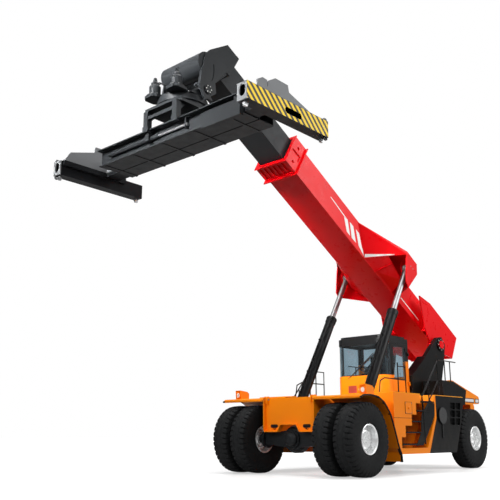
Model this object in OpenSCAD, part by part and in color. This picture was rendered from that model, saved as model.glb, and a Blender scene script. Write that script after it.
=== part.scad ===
/* [Wheels and axles] */
// Distance between the drive axle and the steer axle
wheelbase = 6000; // [5800:10:6200]
// Outer diameter of a tyre over its lugs
tyre_d = 1615; // [1570:5:1640]
// Width of a tyre
tyre_w = 500; // [460:5:520]
// Shoulder notches on each side of a tyre
notches = 16; // [12:1:20]
// Diameter of a rim where the tyre sits
rim_d = 640; // [600:5:660]
// Gap between the two tyres of a front twin
twin_gap = 70; // [50:5:90]
// Distance between the middles of the front twins
front_track = 3030; // [2990:10:3060]
// Distance between the steered tyres
rear_track = 2780; // [2740:10:2820]
// Distance from the middle plane to a kingpin
kingpin_y = 1050; // [1000:10:1080]

/* [Frame] */
// Height of the deck above the ground
deck_z = 1870; // [1840:10:1900]
// Front edge of the nose, ahead of the drive axle
nose_x = 340; // [300:10:380]
// Half width of the nose
nose_half = 766; // [740:2:780]
// Thickness of the frame's heavy plates
frame_t = 40; // [30:2:50]
// Half width over the side bodies
body_half = 2050; // [2030:5:2060]
// Rear face of the counterweight, behind the steer axle
tail_out = 1330; // [1280:10:1360]

/* [Boom] */
// Boom angle above the level
boom_angle = 29.7; // [28:0.1:31]
// Boom pivot, ahead of the steer axle
pivot_ahead = 350; // [300:5:380]
// Height of the boom pivot
pivot_z = 3450; // [3430:5:3480]
// Width of the outer boom section
boom_w = 880; // [860:5:900]
// Underside of the outer boom above the pivot
boom_low = 260; // [250:5:270]
// Height of the outer boom section
boom_h = 760; // [740:5:780]
// Plate thickness of the boom sections
boom_t = 28; // [24:1:32]
// Length of the outer section from the pivot to its mouth
boom_mouth = 7670; // [7600:10:7720]
// Tail of the outer section behind the pivot
boom_tail = 1080; // [1040:10:1100]
// Reach of the inner section's tip from the pivot
tip_a = 10200; // [10150:10:10250]
// Diameter of the boom pivot pin
pivot_pin = 220; // [180:5:240]

/* [Lift cylinders] */
// Distance of a lift cylinder from the middle plane
lift_y = 1000; // [980:5:1010]
// Rod eye along the boom from the pivot
eye_a = 2635; // [2600:5:2660]
// Rod eye above the pivot, square to the boom
eye_b = 740; // [720:5:750]
// Foot pin of the cylinder, behind the drive axle
foot_x = -1200; // [-1230:5:-1170]
// Height of the foot pin
foot_z = 1350; // [1330:5:1370]
// Outer diameter of a barrel
barrel_d = 270; // [250:5:280]
// Diameter of a rod
rod_d = 150; // [130:5:160]
// Length of a barrel from its foot pin to the gland
barrel_l = 3240; // [3150:10:3260]

/* [Spreader] */
// Width over the end beams, for a short container
spread_w = 6100; // [6080:2:6110]
// Length of an end beam
end_l = 2438; // [2430:1:2440]
// Height of the end beams' underside with the boom as it stands
end_z = 6720; // [6700:5:6740]
// Height of an end beam
end_h = 350; // [330:5:360]
// Thickness of an end beam
end_t = 250; // [240:5:260]
// Distance between the twistlocks of one end beam
lock_pitch = 2259; // [2255:1:2263]
// Underside of the main beams
beam_z = 6950; // [6940:5:6960]
// Height of the main beams
beam_h = 380; // [360:5:390]
// Half length of the main beams
beam_half = 2250; // [2150:10:2300]
// Travel of the side shift to each side
shift_travel = 800; // [700:10:810]

/* [Hidden] */
$fn = 48;

orange = "orange";
black = "#2b2c2e";
red = "#d81820";
steel = "silver";
grey = "#3c3e41";
rubber = "#222426";
glass = "#9fc4d8";

tyre_r = tyre_d / 2;
rim_r = rim_d / 2;
axle_z = tyre_r;
twin_pitch = tyre_w + twin_gap;
steer_x = -wheelbase;
pivot_x = steer_x + pivot_ahead;

// Running clearance of a pin in its bore, the gap that a wear pad leaves, and the gap of a seated pane
pin_gap = 0.1;
pad_gap = 0.5;
seat_gap = 0.3;

// Places of the head in the boom's frame, along and above the boom from the pivot
head_pin_a = tip_a + 301;
head_pin_b = -521;
head_half = 644;

// Turns a place in the boom's frame into one in the machine's frame
function on_boom(a, b) = [pivot_x + a * cos(boom_angle) - b * sin(boom_angle),
                          pivot_z + a * sin(boom_angle) + b * cos(boom_angle)];

head_pin = on_boom(head_pin_a, head_pin_b);
eye = on_boom(eye_a, eye_b);
slew_x = head_pin[0] + 150;
lift_len = norm([eye[0] - foot_x, eye[1] - foot_z]);
lift_lean = atan2(eye[1] - foot_z, eye[0] - foot_x);

// The origin lies under the middle of the whole length
front_end = slew_x + end_l / 2;
rear_end = steer_x - tail_out;
shift_x = -(front_end + rear_end) / 2;

// Where the side bodies start behind the front wheels, where they change into the skirts, and where
// the skirts end ahead of the rear wheels
body_front = -tyre_r - 190;
split_x = body_front - 1985;
skirt_end = steer_x + 1530;

module machine() { translate([shift_x, 0, 0]) children(); }
module both() {
    children();
    mirror([0, 1, 0]) children();
}
// Side outline drawn as [x, z] and given a width across the machine
module across(w, y = 0) {
    translate([0, y, 0]) rotate([90, 0, 0]) linear_extrude(w, center = true) children();
}
// Front outline drawn as [y, z] and given a length along the machine
module along(l, x = 0) {
    translate([x, 0, 0]) rotate([90, 0, 90]) linear_extrude(l, center = true) children();
}
module box(lo, hi) { translate(lo) cube(hi - lo); }
module shaft_y(d, l, p = [0, 0, 0]) {
    translate(p) rotate([90, 0, 0]) cylinder(h = l, d = d, center = true);
}
module shaft_x(d, l, p = [0, 0, 0]) {
    translate(p) rotate([0, 90, 0]) cylinder(h = l, d = d, center = true);
}
// Turned piece about an axis that points forward from x, its profile drawn as [radius, distance ahead]
module turned_x(profile, p) {
    translate(p) rotate([0, 90, 0]) rotate_extrude() polygon(profile);
}
// Slot with round ends, drawn about its middle
module stadium(l, w) {
    square([l - w, w], center = true);
    for (s = [-1, 1]) translate([s * (l - w) / 2, 0]) circle(d = w);
}
// Round bar from p to q
module bar(p, q, d) {
    v = q - p;
    translate(p) rotate([0, acos(v[2] / norm(v)), atan2(v[1], v[0])]) cylinder(h = norm(v), d = d, $fn = 16);
}
// Bent tube along a path, with a ball a little wider than the tube at each bend
module rail(path, d) {
    last = len(path) - 1;
    for (i = [1 : last]) bar(path[i - 1], path[i], d);
    for (i = [1 : 1 : last - 1]) translate(path[i]) sphere(d = 1.14 * d, $fn = 16);
}
// Flat wall through the given points, fanned from the first, with its thickness as one shift
module wall(points, shift) {
    n = len(points);
    polyhedron(concat(points, [for (p = points) p + shift]),
        concat([for (i = [1 : n - 2]) [0, i, i + 1]], [for (i = [1 : n - 2]) [n, n + i + 1, n + i]],
               [for (i = [0 : n - 1]) [(i + 1) % n, i, i + n]],
               [for (i = [0 : n - 1]) [(i + 1) % n, i + n, (i + 1) % n + n]]));
}
module boom_frame() {
    translate([pivot_x, 0, pivot_z]) rotate([0, -boom_angle, 0]) children();
}
function arc(c, r, a0, a1, n) = [for (i = [0 : n]) let (t = a0 + (a1 - a0) * i / n) c + r * [cos(t), sin(t)]];
// Outline moved by the given distances
function moved(path, x, z = 0) = [for (p = path) p + [x, z]];

// Frame: nose plate, two girders, and a narrow stern between the steered wheels
girder_y = 640;
girder_w = 190;
girder_top = 1720;
girder_low = 980;
stern_half = 410;
stern_x = steer_x + 1020;
stern_end = steer_x - 1075;
trunnion_z = axle_z + 150;
foot_pin_d = 120;
member_x = split_x + 480;
module frame() {
    color(orange) machine() difference() {
        union() {
            nose();
            both() {
                across(girder_w, girder_y) polygon([
                    [nose_x - nose_set, girder_top], [nose_x - nose_set, girder_low],
                    [-tyre_r - 90, girder_low], [foot_x - 100, 700], [stern_x + 300, 700],
                    [stern_x, 1150], [stern_x, girder_top]]);
                across(frame_t, stern_half - frame_t / 2) polygon(concat(
                    [[stern_x + 300, girder_top], [stern_x + 300, 760], [steer_x + 400, 760]],
                    [[steer_x + 400, 1200], [steer_x - 400, 1200], [steer_x - 400, 760]],
                    [[stern_end, 760], [stern_end, girder_top]]));
                // Outriggers that carry the side bodies
                for (x = [split_x + 85, (split_x + skirt_end) / 2, skirt_end + 170])
                    box([x, girder_y, 1000], [x + 90, body_in, 1600]);
                // Bracket plates that carry the foot pins of the lift cylinders
                for (s = [-1, 1]) across(30, lift_y + s * 115) foot_plate();
                box([foot_x - 60, girder_y, 1130], [foot_x + 60, lift_y + 130, 1190]);
            }
            // Cross members between the girders
            for (x = [foot_x + 500, member_x, stern_x + 60])
                box([x, -girder_y, 1060], [x + 120, girder_y, 1640]);
            // Cross members of the stern, the two by the steer axle with its trunnion bores
            for (x = [stern_end + 30, steer_x - 430, steer_x + 430])
                box([x - 30, -stern_half + 10, 760], [x + 30, stern_half - 10, 1250]);
        }
        shaft_x(trunnion_d + 2 * pin_gap, 1000, [steer_x, 0, trunnion_z]);
        both() shaft_y(foot_pin_d + 2 * pin_gap, 400, [foot_x, lift_y, foot_z]);
    }
}
module foot_plate() {
    polygon(concat([[foot_x - 220, 1130], [foot_x + 220, 1130]], arc([foot_x, foot_z], 130, 0, 180, 8)));
}
// Nose: a plate set back between two side plates, a lip along its lower edge, and pinned ears above
nose_low = 966;
nose_high = 1757;
nose_set = 90;
ear_r = 75;
module nose_outline() {
    w = nose_half;
    polygon([[-w, nose_low + 40], [-w + 40, nose_low], [-330, nose_low], [-230, 1130], [230, 1130],
             [330, nose_low], [w - 40, nose_low], [w, nose_low + 40], [w, nose_high], [-w, nose_high]]);
}
module nose() {
    along(frame_t, nose_x - nose_set - frame_t / 2) difference() {
        nose_outline();
        for (s = [-1, 1]) translate([s * 540, 1060]) stadium(230, 80);
    }
    along(nose_set + 1, nose_x - (nose_set + 1) / 2) difference() {
        nose_outline();
        translate([0, 22]) nose_outline();
        translate([0, nose_high]) square([2 * nose_half + 2, 60], center = true);
    }
    both() {
        box([nose_x - 420, nose_half - 30, nose_low + 40], [nose_x, nose_half, nose_high]);
        for (y = [nose_half - 15, nose_half - 95]) across(30, y) difference() {
            union() {
                translate([nose_x - ear_r, nose_high - 30]) circle(ear_r);
                translate([nose_x - 2 * ear_r - 60, nose_high - 140]) square([2 * ear_r + 60, 110]);
            }
            translate([nose_x - ear_r, nose_high - 30]) circle(25);
        }
    }
    box([nose_x - 300, -nose_half + 20, girder_top - 20],
        [nose_x - nose_set, nose_half - 20, girder_top + 10]);
}

// Drive axle: a banjo housing with a domed cover in front, and beams that taper to the brakes
hub_r = 170;
spindle_d = 200;
axle_half = front_track / 2 - twin_pitch / 2 - tyre_w / 2 - 30;
banjo = [[0, -270], [150, -270], [260, -200], [320, -90], [320, 80], [280, 170], [225, 190], [225, 235],
         [178, 235], [172, 280], [140, 318], [80, 342], [0, 350]];
module drive_axle() {
    color(black) machine() union() {
        turned_x(banjo, [-20, 0, axle_z]);
        both() {
            hull() {
                box([-170, 180, axle_z - 190], [170, 200, axle_z + 190]);
                box([-130, axle_half - 80, axle_z - 120], [130, axle_half - 60, axle_z + 130]);
            }
            shaft_y(420, 80, [0, axle_half - 40, axle_z]);
            shaft_y(spindle_d, 250, [0, axle_half + 100, axle_z]);
            box([-150, girder_y - girder_w / 2, axle_z - 60], [150, girder_y + girder_w / 2, girder_low]);
            box([-220, girder_y - girder_w / 2, girder_low - 50], [200, girder_y + girder_w / 2, girder_low]);
        }
        shaft_x(150, 300, [-380, 0, axle_z]);
    }
}
// Propeller shaft with a flange at each end, and the gearbox between the girders
gear_l = 800;
gear_gap = 397.5;
gear_x = member_x - gear_gap - gear_l;
module driveline() {
    front = gear_x + gear_l;
    color(black) machine() union() {
        shaft_x(110, -530 - front, [(front - 530) / 2, 0, axle_z]);
        for (x = [-570, front + 130]) shaft_x(200, 40, [x, 0, axle_z]);
        turned_x([[0, 0], [290, 0], [290, 60], [190, 120], [190, 150], [0, 150]], [front - 20, 0, axle_z]);
        box([gear_x, -330, 720], [front, 330, 1500]);
        for (x = [gear_x + 100, front - 200])
            box([x, -girder_y + girder_w / 2, 1200], [x + 100, girder_y - girder_w / 2, 1280]);
    }
}
engine_x = steer_x - 150;
module engine() {
    color("#5a5d60") machine() union() {
        box([engine_x, -330, 1260], [stern_x + 40, 330, 2050]);
        for (x = [engine_x + 150, stern_x - 250])
            box([x, -stern_half + frame_t, 1380], [x + 120, stern_half - frame_t, 1460]);
    }
}

// Steer axle: a beam with forked ends, hung in the stern on a fore-and-aft pivot
king_d = 110;
trunnion_d = 300;
fork_gap = 170;
beam_end = kingpin_y - 260;
module steer_axle() {
    color(black) machine() difference() {
        union() {
            across(2 * beam_end) translate([steer_x, axle_z]) polygon([[-180, -130], [-120, -170],
                [120, -170], [180, -130], [180, 130], [120, 170], [-120, 170], [-180, 130]]);
            shaft_x(trunnion_d, 940, [steer_x, 0, trunnion_z]);
            both() for (s = [-1, 1])
                translate([steer_x, kingpin_y, axle_z + s * (fork_gap + 35)]) fork_arm();
            both() box([steer_x - 100, beam_end - 60, axle_z - fork_gap - 70],
                       [steer_x + 100, beam_end + 1, axle_z + fork_gap + 70]);
        }
        both() translate([steer_x, kingpin_y, 0]) cylinder(h = 3000, d = king_d + 2 * pin_gap);
    }
}
module fork_arm() {
    linear_extrude(70, center = true) union() {
        circle(100);
        polygon([[-100, 0], [100, 0], [150, -300], [-150, -300]]);
    }
}
stub_d = 110;
stub_l = rear_track / 2 - kingpin_y + 60;
module knuckle() {
    translate([steer_x, kingpin_y, axle_z]) {
        cylinder(h = 2 * (fork_gap + 80), d = king_d, center = true);
        cylinder(h = 2 * (fork_gap - 6), d = 190, center = true);
        shaft_y(180, 200, [0, 110, 0]);
        shaft_y(stub_d, stub_l, [0, stub_l / 2, 0]);
        // Steering arm with the eye for its link
        difference() {
            linear_extrude(80, center = true) union() {
                polygon([[-60, -30], [-60, 60], [250, 60], [250, -30]]);
                translate([250, 15]) circle(d = 90);
            }
            translate([250, 15, -50]) cylinder(h = 100, d = 40);
        }
    }
}
module knuckle_left() { color(black) machine() knuckle(); }
module knuckle_right() { color(black) machine() mirror([0, 1, 0]) knuckle(); }

// Tyres and rims, drawn about their own axle and laid on it by the nodes
function tyre_outline() = let (h = tyre_w / 2, r = tyre_r, s = tyre_r - rim_r) [
    [rim_r, -h + 60], [rim_r + 0.12 * s, -h + 22], [rim_r + 0.42 * s, -h],
    [rim_r + 0.68 * s, -h + 12], [r - 48, -h + 34], [r - 8, -h + 66], [r, 0],
    [r - 8, h - 66], [r - 48, h - 34], [rim_r + 0.68 * s, h - 12],
    [rim_r + 0.42 * s, h], [rim_r + 0.12 * s, h - 22], [rim_r, h - 60]];
notch = [120, 64, 110];
module tyre() {
    rotate([90, 0, 0]) difference() {
        rotate_extrude($fn = 32) polygon(tyre_outline());
        for (s = [-1, 1], i = [1 : notches]) rotate((i + s / 4) * 360 / notches)
            translate([tyre_r, 0, s * tyre_w / 2]) cube(notch, center = true);
    }
}
// Dished rim with its open side at +Y, and a hub of the given length behind its disc
module rim(depth, hub_l) {
    h = tyre_w / 2 - 50;
    disc = h - depth;
    rotate([-90, 0, 0]) {
        rotate_extrude($fn = 64) polygon([
            [rim_r - 22, -h], [rim_r - seat_gap, -h], [rim_r - seat_gap, h], [rim_r + 8, h + 12],
            [rim_r + 8, h + 24], [rim_r - 22, h + 24], [rim_r - 30, disc + 40], [rim_r - 70, disc],
            [hub_r, disc], [hub_r, disc - 30], [rim_r - 60, disc - 30], [rim_r - 44, disc - 20],
            [rim_r - 44, -h]]);
        translate([0, 0, disc - hub_l]) cylinder(h = hub_l + depth - 50, r = hub_r - 40);
        translate([0, 0, disc - hub_l]) cylinder(h = hub_l + 6, r = hub_r + 1);
        translate([0, 0, disc - 30]) cylinder(h = 36, r = hub_r + 30);
        for (i = [0 : 9]) rotate(i * 36) translate([hub_r + 5, 0, disc - 10])
            cylinder(h = 50, r = 16, $fn = 6);
    }
}
module front_pair(y) { for (s = [-1, 1]) translate([0, y + s * twin_pitch / 2, axle_z]) children(); }
module front_tyres() { front_pair(front_track / 2) tyre(); }
module front_rims() {
    difference() {
        union() {
            translate([0, front_track / 2 + twin_pitch / 2, axle_z]) rim(120, 200);
            translate([0, front_track / 2 - twin_pitch / 2, axle_z]) mirror([0, 1, 0]) rim(150, 60);
            shaft_y(2 * hub_r - 30, twin_pitch + 100, [0, front_track / 2, axle_z]);
        }
        shaft_y(spindle_d + 1, 500, [0, axle_half + 10, axle_z]);
    }
}
module front_tyres_left() { color(rubber) machine() front_tyres(); }
module front_tyres_right() { color(rubber) machine() mirror([0, 1, 0]) front_tyres(); }
module front_rims_left() { color(steel) machine() front_rims(); }
module front_rims_right() { color(steel) machine() mirror([0, 1, 0]) front_rims(); }
module rear_wheel() { translate([steer_x, rear_track / 2, axle_z]) children(); }
module rear_tyre_left() { color(rubber) machine() rear_wheel() tyre(); }
module rear_tyre_right() { color(rubber) machine() mirror([0, 1, 0]) rear_wheel() tyre(); }
module rear_rim() {
    difference() {
        rim(110, 120);
        shaft_y(stub_d + 1, 500, [0, kingpin_y - rear_track / 2 + stub_l - 245, 0]);
    }
}
module rear_rim_left() { color(steel) machine() rear_wheel() rear_rim(); }
module rear_rim_right() { color(steel) machine() mirror([0, 1, 0]) rear_wheel() rear_rim(); }

// Fenders with their lamp pods
fender_t = 20;
fender_path = [[nose_x + 15, 1700], [nose_x + 15, 1735], [nose_x - 40, 1765], [0, 1772], [-320, 1735],
               [-560, 1610], [-790, 1370], [-945, 1010], [-1105, 610], [-1225, 460]];
pod_x = nose_x - 340;
pod_y = body_half - 160;
pod_w = 180;
module front_fenders() {
    inner = [for (p = fender_path) let (c = [0, axle_z], v = p - c) c + v * (1 - fender_t / norm(v))];
    reach = body_half + 20;
    color(orange) machine() both() difference() {
        union() {
            across(reach - nose_half, (reach + nose_half) / 2)
                polygon(concat(fender_path, [for (i = [len(inner) - 1 : -1 : 0]) inner[i]]));
            across(pod_w, pod_y) polygon([[pod_x, 1740], [pod_x + 20, 2000], [pod_x - 230, 1975],
                [pod_x - 300, 1930], [pod_x - 300, 1725], [pod_x - 40, 1755]]);
        }
        box([pod_x - 12, pod_y - pod_w / 2 + 18, 1790], [pod_x + 40, pod_y + pod_w / 2 - 18, 1980]);
    }
}

// Side bodies: a tank with a stair cut into it, outlined as [x, z]
stair_in = body_half - 410;
body_in = 985;
body_path = [[body_front, deck_z - 15], [body_front, 1020], [body_front - 150, 610], [body_front - 265, 470],
             [split_x + 430, 470], [split_x, 1300], [split_x, deck_z - 15]];
stair_path = moved([[-290, 600], [-290, 850], [-480, 850], [-480, 1110], [-780, 1110], [-780, 1370],
                    [-1010, 1370], [-1010, 1640], [-1230, 1640], [-1230, deck_z + 10], [-1950, deck_z + 10],
                    [-1900, 1310], [-1480, 600]], body_front);
module side_bodies() {
    color(orange) machine() both() difference() {
        across(body_half - body_in, (body_half + body_in) / 2) polygon(body_path);
        across(body_half - stair_in + 10, (body_half + stair_in) / 2 + 5) polygon(stair_path);
        box([foot_x - 570, body_in - 5, 400], [foot_x + 260, lift_y + 170, deck_z + 10]);
    }
}
// Skirts with six louvred panes, three rows of two, that lean with the rear edge
skirt_path = [[split_x + 425, 470], [skirt_end + 520, 470], [skirt_end + 190, 1180], [skirt_end, 1670],
              [skirt_end, deck_z - 15], [split_x - 5, deck_z - 15], [split_x - 5, 1300]];
pane_x = [skirt_end + 245, skirt_end + 540];
pane_z = [1150, 1345, 1540];
pane_size = [260, 170];
pane_lean = -0.15;
pane_depth = 45;
blades = 4;
module pane_outline() {
    polygon([for (p = [[0, 0], [1, 0], [1, 1], [0, 1]])
        [p[0] * pane_size[0] + pane_lean * p[1] * pane_size[1], p[1] * pane_size[1]]]);
}
module rear_skirts() {
    color(black) machine() both() union() {
        difference() {
            across(body_half - body_in, (body_half + body_in) / 2) polygon(skirt_path);
            for (x = pane_x, z = pane_z) across(2 * pane_depth, body_half)
                translate([x + pane_lean * (z - pane_z[0]), z]) pane_outline();
        }
        for (x = pane_x, z = pane_z, i = [1 : blades]) let (h = i * pane_size[1] / (blades + 1))
            translate([x + pane_lean * (z + h - pane_z[0]) - 2, body_half - pane_depth - 2, z + h])
                rotate([35, 0, 0])
                cube([pane_size[0] + 4, pane_depth - 6, 6]);
    }
}

// Deck plate with holes for the cylinders and the stairs
deck_t = 15;
cab_back = pivot_x + 1710;
cab_front = cab_back + 1190;
tower_y = 820;
tower_t = 120;
module deck() {
    color(orange) machine() difference() {
        union() {
            both() box([skirt_end, tower_y + 75, deck_z - deck_t], [body_front, body_half, deck_z]);
            box([cab_back - 50, -tower_y - 80, deck_z - deck_t], [cab_front + 450, tower_y + 80, deck_z]);
        }
        both() box([foot_x - 570, body_in - 90, deck_z - 20], [foot_x + 60, lift_y + 170, deck_z + 10]);
        both() box([split_x + 35, stair_in, deck_z - 20], [body_front - 1230, body_half + 10, deck_z + 10]);
    }
}
// Steps as [rear, front, top], with the hand rails of the stairs, the walkway and the hood
step_table = [for (s = [[-1000, -290, 700], [-1240, -480, 970], [-1440, -780, 1225], [-1660, -1010, 1480],
                        [-1880, -1230, 1700]]) [body_front + s[0], body_front + s[1], s[2]]];
rail_y = body_half - 10;
walk_y = 1300;
guard_y = 1460;
hood_top = 2340;
module steps_and_rails() {
    top = split_x - 215;
    foot = body_front - 1340;
    color(black) machine() both() union() {
        for (s = step_table) box([s[0], stair_in, s[2] - 30], [s[1], body_half + 20, s[2]]);
        rail([[top, rail_y, deck_z], [top, rail_y, 2720], [foot, rail_y, 1820],
              [foot - 50, rail_y, 690]], 36);
        rail([[top, rail_y, 2250], [foot - 19, rail_y, 1390]], 30);
        rail([[foot - 340, rail_y, 1690], [foot - 340, rail_y, 2176]], 30);
        rail([[foot_x - 390, walk_y, deck_z + 3.5], [foot_x - 460, walk_y, 2190],
              [foot_x - 660, walk_y, 2270],
              [split_x + 110, walk_y, 2270], [split_x + 110, walk_y, deck_z]], 30);
        rail([[split_x + 480, walk_y, deck_z], [split_x + 480, walk_y, 2690]], 30);
        rail([[split_x + 480, walk_y, 2600], [split_x + 110, walk_y, 2600],
              [split_x + 110, walk_y, 2270]], 26);
        rail([[steer_x + 1650, guard_y, 2880], [steer_x + 640, guard_y, 2880]], 30);
        for (x = [1290, 980])
            rail([[steer_x + x, guard_y, hood_top + seat_gap], [steer_x + x, guard_y, 2880]], 30);
    }
}

// Engine hood: side panels, the front corners, and a cover between the towers, outlines from the steer axle
cw_half = 1420;
hood_path = moved([[1520, 1720], [1520, hood_top], [920, hood_top], [150, 2128], [270, 1800],
                   [270, 1720]], steer_x);
module engine_hood() {
    inner = tower_y - 136;
    color(black) machine() both() union() {
        across(80, cw_half + 40) polygon(hood_path);
        box([steer_x + 1440, 900, 1720], [steer_x + 1520, 1440, hood_top]);
        box([pivot_x, -1, deck_z + 250], [pivot_x + 1550, inner, deck_z + 280]);
        difference() {
            box([pivot_x + 1510, -1, deck_z + 20], [pivot_x + 1550, inner, deck_z + 260]);
            for (z = [60 : 40 : 220]) box([pivot_x + 1500, 80, deck_z + z],
                [pivot_x + 1560, inner - 60, deck_z + z + 18]);
        }
    }
}
cw_path = moved([[1300, 1720], [1300, 2000], [920, 2375], [800, 2375], [-740, 1990], [-790, 1950],
                 [-790, 1810], [-740, 1775], [200, 1740]], steer_x);
tail_path = moved([[-600, 1990], [-740, 1990], [-tail_out + 90, 1830], [-tail_out, 1740], [-tail_out, 800],
                   [-tail_out + 50, 750], [-1075, 750], [-1075, 1775], [-600, 1775]], steer_x);
tow_d = 52;
module counterweight() {
    color(orange) machine() difference() {
        union() {
            across(2 * cw_half) polygon(cw_path);
            across(2000) polygon(tail_path);
        }
        box([engine_x - 30, -340, 1000], [steer_x + 1600, 340, 2060]);
        box([pivot_x - 10, -tower_y - 75, 1000], [pivot_x + 1250, tower_y + 75, 2500]);
        both() lamp_boxes();
        translate([rear_end + 120, 0, 700]) cylinder(h = 520, d = tow_d);
        box([rear_end - 1, -200, 900], [rear_end + 240, 200, 1040]);
    }
}

// Towers that carry the boom pivot, each a plate with a flange along its front slope and a boss
tower_path = concat([[pivot_x + 10, deck_z], [pivot_x + 1690, deck_z]],
    moved([[1690, -990], [870, -390], [550, -110], [100, 210], [-110, 240], [-310, 30], [-180, -480],
           [10, -1010]], pivot_x, pivot_z));
module boom_towers() {
    slope = moved([[1690, -990], [870, -390], [846, -422], [1660, -1018]], pivot_x, pivot_z);
    color(black) machine() difference() {
        union() {
            both() {
                across(tower_t, tower_y) polygon(tower_path);
                box([pivot_x + 50, 560, girder_top], [pivot_x + 1650, tower_y + 60, deck_z + 20]);
                across(280, tower_y - 80) polygon(slope);
                shaft_y(360, tower_t + 70, [pivot_x, tower_y, pivot_z]);
                across(30, tower_y - 120) polygon([[pivot_x + 1655, deck_z], [pivot_x + 1655, pivot_z - 1000],
                    [pivot_x + 1200, deck_z + 270], [pivot_x + 1200, deck_z]]);
            }
            box([pivot_x + 750, -tower_y, deck_z + 10], [pivot_x + 1050, tower_y, deck_z + 250]);
        }
        shaft_y(pivot_pin + 2 * pin_gap, 3000, [pivot_x, 0, pivot_z]);
    }
}

// Cab, in plan a box with rounded front corners: a lower shell, an upper frame with its roof, glass and
// a door
cab_half = 790;
cab_base = deck_z + 90;
cab_top = 3510;
sill_z = 2440;
roof_z = 3330;
head_z = roof_z - 60;
cab_t = 50;
screen_x = cab_front - 270;
pillar = 60;
door_x = [cab_back + 60, screen_x - pillar - 10];
door_z = [cab_base + 60, 3300];
// Door hinges: the place of their pins in plan, and their heights
hinge_p = [door_x[0] - 25, cab_half + 22];
hinge_z = [2200, 3000];
hinge_d = 24;
module cab_plan(inset = 0) {
    r = 260 - inset;
    f = cab_front - inset;
    b = cab_back + inset;
    h = cab_half - inset;
    polygon(concat([[b, -h]], arc([f - r, -h + r], r, -90, 0, 8), arc([f - r, h - r], r, 0, 90, 8),
        [[b, h]]));
}
module cab_ring(z0, z1, t) {
    translate([0, 0, z0]) linear_extrude(z1 - z0) difference() {
        cab_plan();
        cab_plan(t);
    }
}
module hinge_lug(z) { box([hinge_p[0] - 22, cab_half - 10, z], [hinge_p[0] + 20, hinge_p[1] + 22, z + 50]); }
module hinge_bores() {
    for (z = hinge_z) translate([hinge_p[0], hinge_p[1], z - 1]) cylinder(h = 60, d = hinge_d + 2 * pin_gap);
}
module door_gap() {
    box([door_x[0] - 6, cab_half - 200, door_z[0] - 6], [door_x[1] + 10, cab_half + 5, door_z[1] + 6]);
}
module cab_shell() {
    color(orange) machine() difference() {
        union() {
            cab_ring(cab_base, sill_z, cab_t);
            translate([0, 0, cab_base]) linear_extrude(60) cab_plan(10);
            both() box([cab_back + 100, 560, deck_z], [cab_front - 200, 680, cab_base + 10]);
            hinge_lug(hinge_z[0]);
        }
        hinge_bores();
        door_gap();
    }
}
module cab_roof() {
    color(black) machine() difference() {
        union() {
            cab_ring(sill_z + seat_gap, roof_z, cab_t);
            hinge_lug(hinge_z[1]);
            translate([0, 0, roof_z - 1]) linear_extrude(cab_top - roof_z - 59) cab_plan(0);
            translate([0, 0, cab_top - 61]) linear_extrude(61) cab_plan(60);
        }
        hinge_bores();
        door_gap();
        // Windscreen, right window and rear window
        box([screen_x, -cab_half - 10, sill_z - 1], [cab_front + 10, cab_half + 10, head_z]);
        box([cab_back + 90, -cab_half - 10, sill_z - 1], [screen_x - pillar, -cab_half + 200, head_z]);
        box([cab_back - 10, -cab_half + 150, sill_z - 1], [cab_back + 200, cab_half - 150, head_z]);
    }
}
module cab_glass() {
    s = seat_gap;
    color(glass, 0.5) machine() difference() {
        translate([0, 0, sill_z + s]) linear_extrude(head_z - sill_z - 2 * s) difference() {
            cab_plan(16);
            cab_plan(24);
        }
        box([cab_back - 10, -cab_half - 10, 0], [cab_back + 90 + s, -cab_half + 150 + s, 4000]);
        box([screen_x - pillar - s, -cab_half - 10, 0], [screen_x + s, cab_half + 10, 4000]);
        box([cab_back + 80, 0, 0], [screen_x + s, cab_half + 10, 4000]);
        box([cab_back - 10, cab_half - 150 - s, 0], [screen_x, cab_half + 10, 4000]);
    }
}
// Seat with its pedestal and armrests, console, steering column and wheel, and pedals
module cab_interior() {
    floor_z = cab_base + 60;
    seat_x = cab_back + 440;
    wheel_x = cab_front - 330;
    color("#303236") machine() union() {
        box([seat_x - 150, -200, floor_z], [seat_x + 170, 200, 2250]);
        across(520) polygon(moved([[-230, 2250], [-230, 2330], [-190, 2400], [-100, 2420], [180, 2440],
            [240, 2410], [250, 2330], [220, 2250]], seat_x));
        across(480) polygon(moved([[-190, 2350], [-130, 2400], [-190, 2960], [-230, 3010], [-290, 3010],
            [-310, 2960], [-250, 2350]], seat_x));
        across(260) polygon(moved([[-215, 3000], [-200, 3120], [-225, 3150], [-280, 3150], [-300, 3000]],
            seat_x));
        both() {
            box([seat_x - 190, 275, 2480], [seat_x + 180, 335, 2540]);
            box([seat_x - 210, 230, 2420], [seat_x - 150, 335, 2540]);
        }
        box([wheel_x + 70, -300, floor_z], [wheel_x + 180, 300, 2380]);
        bar([wheel_x + 90, 0, 2360], [wheel_x, 0, 2620], 50);
        translate([wheel_x, 0, 2620]) rotate([0, -19, 0]) {
            rotate_extrude() translate([180, 0]) circle(d = 28, $fn = 16);
            for (i = [0 : 2]) rotate(i * 120) translate([90, 0, -4]) cube([190, 26, 12], center = true);
            cylinder(h = 30, d = 90, center = true);
        }
        for (y = [-160, 100]) translate([wheel_x + 20, y, floor_z + 9.5]) rotate([0, 35, 0])
            cube([16, 80, 150]);
    }
}
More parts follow.
